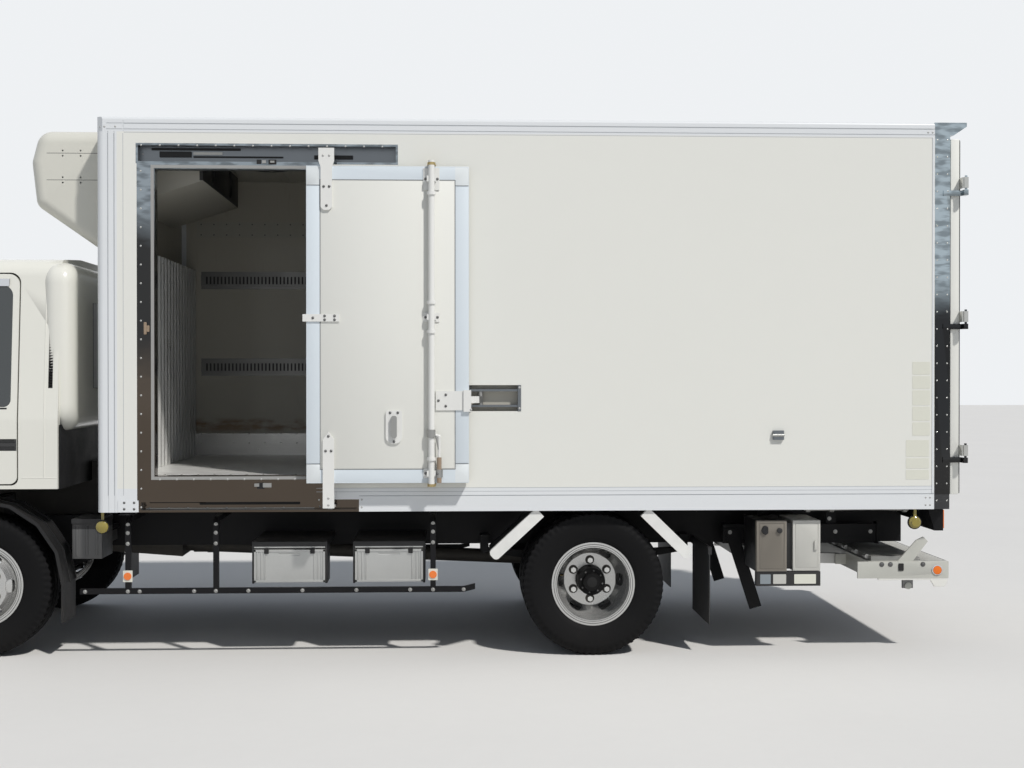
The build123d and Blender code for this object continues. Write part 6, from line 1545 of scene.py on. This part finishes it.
@dataclass
class CabTrim:
    """Small pieces of the cab: rear wall, air vents, ridges, window visors, wipers and lamp rings."""

    vent: tuple[float, float, float, float] = (393.5, 414.5, 1508.0, 1842.0)
    rear: float = 1763.0
    side: float = 1000.0
    roof: float = 2254.0
    window_foot: float = 1392.0
    window_head: float = 2098.0
    skin: Skin = field(default_factory=lambda: Skin(["cab_shell", "cab_glass"]))

    def build(self) -> None:
        """Makes the pieces of the shell, then those of the doors and the front."""
        self.rear_wall()
        self.vents()
        self.ridges()
        self.visors()
        self.wipers()
        self.front()

    def vents(self) -> None:
        """Makes the tilted slats in each upright air vent behind the door, on the floor of its recess."""
        a, b, low, high = self.vent
        slat = block((-10.0, 10.0), (0.0, 2.2), (-7.5, 7.5), 1.5, 0.6).turned(-38, 0, (0, 0, 0)).moved(y=5.0)
        rows = self.skin.set_on(slat, [(at((a + b) / 2), z) for z in line(low + 10, high - 10, 15)])
        stand(rows.both(), "vent_slats", MOULD_BLACK, "cab")

    def rear_wall(self) -> None:
        """Makes the shell anew with its rear end cut off, and the softer rear wall that stands there: an
        outline in the plane across, its edges rounded by a quarter circle, above a dark closing plate."""
        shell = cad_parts["cab_shell"]
        cut = block((1600.0, self.rear), (-1100.0, 1100.0), (500.0, 2400.0), 1.0, 0.5)
        knife = stand(cut, "cab_knife", CAB_WHITE, "cab")
        piece = placed("cab_body", shell.data.copy())
        work = bmesh.new()
        work.from_mesh(piece.data)
        bmesh.ops.remove_doubles(work, verts=work.verts, dist=WELD)
        work.to_mesh(piece.data)
        work.free()
        tool = piece.modifiers.new("cut", "BOOLEAN")
        tool.operation = "DIFFERENCE"
        tool.object = knife
        tool.solver = "EXACT"
        bake(piece, CAB_PANEL)
        bpy.data.objects.remove(knife)
        piece.data.set_sharp_from_angle(angle=PACKED_ANGLE)
        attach(piece, "cab")
        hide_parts("cab_shell")
        LOG.info("cab body cut, %d faces", len(piece.data.polygons))
        ends = rounded(box(-966, 966, 1264, 2212), [150, 150, 120, 120], 9)
        wall = soft_plate(ends, 1683.0, 1860.0, Face.END, 78.0, 9)
        stand(wall, "cab_rear_wall", CAB_WHITE, "cab", smooth=SOFT_ANGLE)
        close = block((self.rear - 2, self.rear + 3), (-975, 975), (940, 1300), 8, 1, Face.END)
        stand(close, "cab_closing_plate", FRAME_BLACK, "cab")

    def ridges(self) -> None:
        """Makes the pressed ridge up each side and over the roof, and the crease along each side: bars sunk
        into the sheet, along points found on it."""
        x, level = at(372.0), self.skin.level
        up = [(x, (level(x, z) or self.side) - 1.6, z) for z in line(1012, 2120, 70)]
        over = [(x, y, (level(x, y, Face.PLAN) or self.roof) - 2.6) for y in line(-820, 820, 80)]
        stand(tube(up, 4.0, 10).both() + tube(over, 4.0, 10), "cab_ridges", CAB_WHITE, "cab")
        low = [(at(b), (level(at(b), 1006.0) or self.side) - 1.4, 1006.0) for b in line(250, 440, 38)]
        stand(tube(low, 3.2, 10).both(), "cab_crease", CAB_WHITE, "cab")

    def visors(self) -> None:
        """Makes the chrome bar above each door window and the black rubber strip below it."""
        section = ((18, -1), (17, 4), (0, 9), (-24, 10), (-25, 7), (-2, 4), (12, -1))
        for sign, word in SIDES:
            body = f"cab_door_{word}"
            skin = Skin([body, f"cab_door_glass_{word}"])
            strip, middle = [], []
            for x in at(line(-640, 168, 60)):
                low = skin.level(x, self.window_foot, Face.SIDE, sign)
                top = skin.level(x, self.window_head, Face.SIDE, sign)
                if low is not None:
                    strip.append((x, low - sign, self.window_foot))
                if top is not None:
                    middle.append((x, top, self.window_head))
            stand(tube(strip, 4.5, 10), f"window_strip_{word}", MOULD_BLACK, body)
            rows = [np.array(middle) + np.array([0.0, sign * out, rise]) for rise, out in section]
            stand(grid(np.array(rows), close_u=True), f"visor_{word}", CHROME, body)

    def wipers(self) -> None:
        """Makes two wipers lying on the windscreen: an arm and a blade that follow the glass."""
        shapes = []
        for pivot, tip in ((-520.0, -60.0), (180.0, 640.0)):
            def spot(t: float, rise: float) -> Triple:
                """Finds a point over the glass.

                Args:
                    t: Its place from the pivot, 0, to the tip, 1.
                    rise: How far it lies above the pivot.

                Returns:
                    The point.
                """
                y = pivot + (tip - pivot) * t
                z = 1418.0 + rise
                x = self.skin.level(y, z, Face.END, 1)
                return (3150.0 if x is None else x) + 9.0, y, z
            shapes.append(tube([spot(t, 8 + 62 * t) for t in (0.0, 0.3, 0.6)], 5.5, 8))
            shapes.append(tube([spot(t, 24 + 72 * t) for t in (0.08, 0.3, 0.55, 0.8, 1.0)], 5.0, 8))
            x, y, z = spot(0.0, 8)
            shapes.append(lathe([(15, -8), (15, 5), (9, 9)], (x, y, z), 0, 20))
        stand(joined(shapes), "wiper_arms", MOULD_BLACK, "cab")

    def front(self) -> None:
        """Makes the rings and lenses in the headlamps, all behind the front plane."""
        centres = ((3309.8, 612.0, 830.0), (3309.8, 706.0, 830.0))
        rings = lathes([(50, 0), (50, 9), (44, 9.5), (42, 4)], centres, 0, 40)
        bowls = lathes([(42, 3), (34, 7), (20, 9), (0.5, 9.6)], centres, 0, 40)
        stand(rings.both(), "headlamp_rings", CHROME, "cab")
        stand(bowls.both(), "headlamp_bowls", CLEAR, "cab")


@dataclass
class Seats:
    """Two padded seats: cushions, backs and headrests of woven cloth on moulded plinths."""

    middle: float = 575.0
    half: float = 236.0
    cap: float = 14.0
    voxel: float = 0.011
    pressure: float = 4.0
    frames: int = 20
    channel: float = 92.0
    channel_width: float = 0.007
    channel_depth: float = 0.006

    def build(self) -> None:
        """Makes the plinths, then sews and fills the pads and puts a mirrored copy on the other side."""
        plinth = bar((236, -186), (self.middle - 225, self.middle + 225), (996, 1222), 20, 4, Face.PLAN)
        posts = [tube([(at(376), y, 1980), (at(390), y, 2040)], 6.0, 12)
                 for y in (self.middle - 45, self.middle + 45)]
        stand(joined([plinth] + posts).both(), "seat_plinths", DARK_TRIM, "cab", replaces=["seats"])
        low, high = self.middle - self.half, self.middle + self.half
        flat = [(270, 1230), (-240, 1230), (-240, 1362), (270, 1355)]
        back = [(182, 1352), (292, 1352), (420, 1985), (342, 1985)]
        rest = [(352, 2022), (432, 2022), (434, 2148), (356, 2148)]
        pads = (("seat_cushion", flat, 34, low, high, 34), ("seat_back", back, 30, low + 8, high - 8, 30),
                ("headrest", rest, 26, self.middle - 132, self.middle + 132, 28))
        for name, corners, corner, start, end, edge in pads:
            outline = rounded([(at(b), z) for b, z in corners], corner, 5)
            shape = soft_plate(outline, start, end, Face.SIDE, edge, 6)
            pad = stand(shape, f"{name}_left", SEAT, "cab", smooth=math.radians(80))
            self.fill(pad)
            twin = placed(f"{name}_right", pad.data.copy())
            self.mirror(twin)
            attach(twin, "cab")

    def fill(self, pad: Piece) -> None:
        """Swells the pad with Cloth under pressure from an even mesh, caps how far each point moved, and
        presses in two sewn channels along it.

        Args:
            pad: The pad to fill.
        """
        remesh = pad.modifiers.new("even", "REMESH")
        remesh.mode = "VOXEL"
        remesh.voxel_size = self.voxel
        bake(pad, SEAT)
        start = points_of(pad.data)
        cloth = pad.modifiers.new("swell", "CLOTH")
        cloth.settings.use_pressure = True
        cloth.settings.uniform_pressure_force = self.pressure
        cloth.settings.effector_weights.gravity = 0.0
        cloth.point_cache.frame_start = 1
        cloth.point_cache.frame_end = self.frames
        for step in range(1, self.frames + 1):
            bpy.context.scene.frame_set(step)
        graph = bpy.context.evaluated_depsgraph_get()
        end = points_of(pad.evaluated_get(graph).data)
        pad.modifiers.remove(cloth)
        bpy.context.scene.frame_set(1)
        move = end - start if len(end) == len(start) else np.zeros_like(start)
        length = np.maximum(np.linalg.norm(move, axis=1, keepdims=True), 1e-9)
        moved = start + move * np.minimum(1.0, self.cap * MM / length)
        for y in (self.middle - self.channel, self.middle + self.channel):
            near = np.exp(-((moved[:, 1] - y * MM) / self.channel_width) ** 2)[:, None]
            way = (moved - moved.mean(0)) * [1, 0, 1]
            way /= np.maximum(np.linalg.norm(way, axis=1, keepdims=True), 1e-6)
            moved = moved - way * near * self.channel_depth
        pad.data.vertices.foreach_set("co", moved.astype(np.float32).ravel())
        pad.data.polygons.foreach_set("use_smooth", np.ones(len(pad.data.polygons), bool))
        smooth = pad.modifiers.new("finer", "SUBSURF")
        smooth.levels = smooth.render_levels = 1
        bake(pad, SEAT)

    def mirror(self, twin: Piece) -> None:
        """Puts the copied pad on the other side, with its faces turned the right way.

        Args:
            twin: The copy of the left pad.
        """
        place = points_of(twin.data) * np.array([1, -1, 1], np.float32)
        twin.data.vertices.foreach_set("co", place.ravel())
        twin.data.flip_normals()
        twin.data.update()


@dataclass
class Running:
    """Pieces of the wheels and under the body: hub screws, valves, guard bolts, case frames, filler cap."""

    screw_ring: float = 62.0
    nut_ring: float = 111.0
    valve_ring: float = 150.0

    def build(self) -> None:
        """Makes the wheels' pieces on each wheel's body, then those of the frame."""
        for side, word in SIDES:
            self.hub(FRONT_AXLE_X, side, f"front_wheel_{word}")
            self.hub(at(WHEELBASE), side, f"rear_wheels_{word}")
        guard = Skin(["side_guards"])
        places = spots((835, 1320, 2528), (375, 640, 700, 745)) + spots(line(600, 2700, 300), (375,))
        stand(guard.set_on(hexagon(7.5, 6.0), places).both(), "guard_bolts", ZINC)
        self.cases()
        tank = Skin(["fuel_tank"])
        cap = lathe([(44, 2), (44, -20), (38, -30), (16, -33), (0.5, -33)], (0, 0, 0), 1, 32)
        stand(tank.set_on(cap, [(1190.0, 650.0)], Face.SIDE, -1), "filler_cap", MOULD_BLACK)

    def hub(self, x: float, side: int, body: str) -> None:
        """Makes a hub's ring of small screws, its middle cap, the seats of the wheel nuts and a valve stem.

        Args:
            x: Place of the axle.
            side: 1 for the left side, -1 for the right one.
            body: The wheel's body.
        """
        skin = Skin([body])
        angle = np.arange(8) * math.pi / 4 + 0.2
        ring = np.stack([x + self.screw_ring * np.cos(angle), AXLE_Z + self.screw_ring * np.sin(angle)], 1)
        screws = skin.set_on(head(5.5, 4.0, 1, side), ring.tolist(), Face.SIDE, side)
        stand(screws, f"hub_screws_{body}", DARK_HEAD, body)
        level = skin.level(x, AXLE_Z, Face.SIDE, side)
        section = [(30, level - side), (30, level - side * 0.2), (27, level + side * 0.4)]
        stand(lathe(section, (x, 0, AXLE_Z), 1, 32), f"hub_mark_{body}", HUB_BLACK, body)
        level = skin.level(x + self.nut_ring, AXLE_Z, Face.SIDE, side)
        section = [(26, level - 0.5 * side), (26, level + 0.6 * side), (17, level + 1.4 * side)]
        turn = math.radians(30) + np.arange(6) * math.pi / 3
        xs, zs = x + self.nut_ring * np.cos(turn), AXLE_Z + self.nut_ring * np.sin(turn)
        seats = lathe(section, (0, 0, 0), 1, 24).copies(np.stack([xs, 0 * turn, zs], 1).tolist())
        stand(seats, f"nut_seats_{body}", IRON, body)
        stem = x + self.valve_ring
        level = skin.level(stem, AXLE_Z + 20, Face.SIDE, side)
        valve = tube([(stem, level - 2 * side, AXLE_Z + 20), (stem + 8, level + 16 * side, AXLE_Z + 21),
                      (stem + 22, level + 24 * side, AXLE_Z + 22)], 4.0, 8, 6)
        stand(valve, f"valve_{body}", BRASS, body)

    def cases(self) -> None:
        """Makes the frame, latches and side brackets of the two storage cases below the doorway."""
        frames, latches = [], []
        for a, b in ((1524.0, 1921.0), (2089.0, 2471.0)):
            for z in ((412.5, 425.0), (584.0, 596.5)):
                frames.append(bar((a, b), (958, 965.5), z, 2, 1))
            for backs in ((a, a + 11), (b - 11, b)):
                frames.append(bar(backs, (958, 965.5), (412.5, 596.5), 2, 1))
            for back in (a + 70, b - 70):
                latches.append(bar((back - 13, back + 13), (965, 970), (574, 606), 3, 1.2))
        stand(joined(frames), "case_frames", ALUMINIUM)
        stand(joined(latches), "case_latches", MOULD_BLACK)


@dataclass
class TailLift:
    """Pieces of the tail lift: pull and labels of its cases, rod, bolts, the platform's strips and
    knuckles."""

    def build(self) -> None:
        """Makes the pieces of the cases and rails, then those of the platform."""
        oval = rounded(box(at(4381), at(4415), 678, 728), 16, 6)
        stand(plate(oval, 1050.1, 1063.5, Face.SIDE, 3), "case_pull", MOULD_BLACK)
        rows = ((4372, 4432, LABEL_DARK, "grey"), (4446, 4520, BOX_WHITE, "white"),
                (4566, 4690, LABEL, "cream"))
        for near, far, finish, word in rows:
            stand(bar((near, far), (1045.1, 1046.2), (398, 452), 3, 0.3), f"case_label_{word}", finish)
        rod_end = (at(4722), 640, 782)
        rod = lathe([(12, 0), (12, -624)], rod_end, 0, 24)
        collars = [lathe([(20, x), (20, x - 26)], rod_end, 0, 24) for x in (-8.0, -150.0, -590.0)]
        stand(joined([rod] + collars), "lift_rod", ZINC)
        rails = Skin(["lift_rails"])
        bolts = spots(line(4290, 5140, 120), (716,)) + spots(line(4290, 5140, 240), (640,))
        stand(rails.set_on(hexagon(8, 7), bolts).both(), "lift_rail_bolts", ZINC)
        self.platform()

    def platform(self) -> None:
        """Makes what moves with the platform: bolts, latches, lamp rings, ribs, knuckles and grips."""
        body = "lift_platform"
        skin = Skin([body])
        bolts = skin.set_on(hexagon(9.5, 5.0), spots((5080, 5130, 5318), (498,)))
        stand(bolts.both(), "platform_bolts", DARK_HEAD, body)
        corners = ((5060, 437), (5060, 408), (5362, 408), (5386, 369), (5444, 369), (5462, 392), (5462, 437))
        lower = rounded([(at(b), z) for b, z in corners], 5, 3)
        stand(plate(lower, 984, 998, Face.SIDE, 1.5).both(), "platform_under_edge", LIFT_WHITE, body)
        latch = bar((5176, 5206), (1000.1, 1006), (462, 504), 4, 1.5)
        stand(latch.both(), "platform_latches", MOULD_BLACK, body)
        ring = lathe([(25, 0.2), (30, 0.2), (30, 5.0), (25, 6.5)], (at(5400), 1000, 465), 1, 36, closed=True)
        stand(ring.both(), "lamp_ring", CHROME, body)
        ribs = [bar((5040, 5290), (y - 4, y + 4), (540.1, 542.5), 3.5, 1, Face.PLAN)
                for y in line(-900, 900, 60)]
        stand(joined(ribs), "leaf_ribs", LIFT_GREY, body)
        hinge = [(at(5022), y, 533) for y in line(-880, 880, 220)]
        stand(lathes([(13, -28), (13, 28)], hinge, 1, 16), "leaf_knuckles", LIFT_STEEL, body)
        grip = [bar((5320, 5452), (y - 3, y + 3), (514.1, 516.5), 2.5, 1, Face.PLAN)
                for y in line(-940, 940, 47)]
        stand(joined(grip), "platform_grip", LIFT_WHITE, body)


@dataclass
class CoolingUnit:
    """Softer cover of the cooling unit on the front wall, with its louvres, drain pipe and screws."""

    half: float = 850.0
    radius: float = 70.0
    first_slat: float = 2582.0
    pitch: float = 35.0
    slope_foot: float = 2538.6
    slope_rise: float = 246.4

    def build(self) -> None:
        """Makes the cover, which stands for the unit's solid, its louvres, the drain pipe and screws."""
        wall, nose, low, top = 1524.0, at(254.5), 2257.5, 2960.5
        tall = top - low
        side = [(wall - 90, low + 0.5), (wall, low), (nose - 28, low + 0.4 * tall), (nose, top - 0.25 * tall),
                (nose - 46, top), (wall - 90, top)]
        outline = rounded(side, [1, 1, 70, 90, 90, 1], 8)
        cover = soft_plate(outline, -self.half, self.half, Face.SIDE, self.radius, 9)
        cover.points[:, 0] = np.maximum(cover.points[:, 0], wall - 1)
        stand(cover, "unit_case", UNIT, replaces=["cooling_unit"], smooth=SOFT_ANGLE)
        slats = []
        for z in np.arange(6) * self.pitch + self.first_slat:
            front = nose - 28 + 28 * (z - self.slope_foot) / self.slope_rise
            slats.append(block((front - 20, front + 1.2), (-586, 586), (z - 7, z + 7), 3, 1.5))
        stand(joined(slats), "unit_louvres", MOULD_BLACK)
        pipe = block((1526, 1548), (762, 798), (1512, 2300), 8, 3, Face.PLAN)
        stand(pipe, "unit_pipe", UNIT_WHITE)
        screws = [block((x - 5, x + 5), (849.4, 850), (z - 5, z + 5), 4.5, 0.5)
                  for x, z in spots((440, 540, 640), (2664, 2694, 2815, 2845))]
        stand(joined(screws).both(), "unit_screws", PALE_HEAD)


@dataclass
class Stage:
    """Floor, light and the camera at the photograph's place."""

    camera_place: Triple = (-0.399, 9.150, 1.594)
    camera_turn: float = 2.55
    camera_pitch: float = 0.47
    lens: float = 50.98
    floor_reach: float = 60000.0
    sun_energy: float = 3.0

    def build(self) -> None:
        """Makes the floor, the lamps, the world and the camera."""
        self.floor()
        self.light()
        self.camera()

    def floor(self) -> None:
        """Makes a pale plain floor that runs to the horizon."""
        material = bpy.data.materials.new("pale_floor")
        material.use_nodes = True
        tree = material.node_tree
        w = Wiring(tree)
        shader = tree.nodes["Principled BSDF"]
        tone = w.group("tone", {"Colour": (0.70, 0.69, 0.67, 1.0), "Amount": 0.02, "Scale": 0.8})
        tree.links.new(tone["Colour"], shader.inputs["Base Color"])
        shader.inputs["Roughness"].default_value = 0.9
        shader.inputs["Specular IOR Level"].default_value = 0.1
        side = np.linspace(-self.floor_reach, self.floor_reach, 9)
        x, y = np.meshgrid(side, side, indexing="ij")
        shape = grid(np.stack([x, y, np.zeros_like(x)], -1))
        mesh = bpy.data.meshes.new("floor")
        mesh.from_pydata((shape.points * MM).tolist(), [], shape.faces[0].tolist())
        mesh.materials.append(material)
        floor = placed("floor", mesh)
        floor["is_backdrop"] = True

    def light(self) -> None:
        """Makes a soft sun from above the rear of the open side, and an even pale world."""
        sun = bpy.data.lights.new("sun", "SUN")
        sun.energy = self.sun_energy
        sun.angle = math.radians(3)
        sun.color = (1.0, 0.975, 0.94)
        placed("sun", sun).rotation_euler = (math.radians(-41.1), 0.0, math.radians(37.8))
        world = bpy.data.worlds.new("pale_world")
        bpy.context.scene.world = world
        world.use_nodes = True
        tree = world.node_tree
        w = Wiring(tree)
        ray = w.add("ShaderNodeLightPath").outputs
        beyond = w.maths("MAXIMUM", ray["Is Glossy Ray"], ray["Is Transmission Ray"])
        seen = w.maths("MAXIMUM", ray["Is Camera Ray"], beyond)
        colour = w.blend(seen, (0.27, 0.30, 0.35, 1.0), (0.86, 0.88, 0.90, 1.0))
        tree.links.new(colour, tree.nodes["Background"].inputs["Color"])

    def camera(self) -> None:
        """Makes the camera, looking at the open side and turned slightly towards the rear."""
        data = bpy.data.cameras.new("camera")
        data.lens = self.lens
        data.sensor_width = 36.0
        data.clip_end = 200.0
        camera = placed("camera", data)
        camera.location = self.camera_place
        camera.rotation_euler = (math.radians(90 - self.camera_pitch), 0.0,
                                 math.radians(180 - self.camera_turn))
        bpy.context.scene.camera = camera


def save_sizes(first: tuple, last: tuple) -> None:
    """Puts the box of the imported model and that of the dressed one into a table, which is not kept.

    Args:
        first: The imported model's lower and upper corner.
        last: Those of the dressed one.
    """
    boxes = {name: [list(corner) for corner in ends] for name, ends in (("cad", first), ("visual", last))}


def main() -> None:
    """Dresses the solids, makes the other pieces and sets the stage."""
    logging.basicConfig(level=logging.INFO, format="%(name)s: %(message)s")
    packed_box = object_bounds()
    bpy.context.scene.view_settings.view_transform = "Standard"
    Solids().dress()
    for group in (Tyres, SideDoor, Doorway, CargoBody, LoadSpace, RearEnd, CabTrim, Seats, Running, TailLift,
                  CoolingUnit, Stage):
        group().build()
    save_sizes(packed_box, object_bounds())


if __name__ == "__main__":
    main()
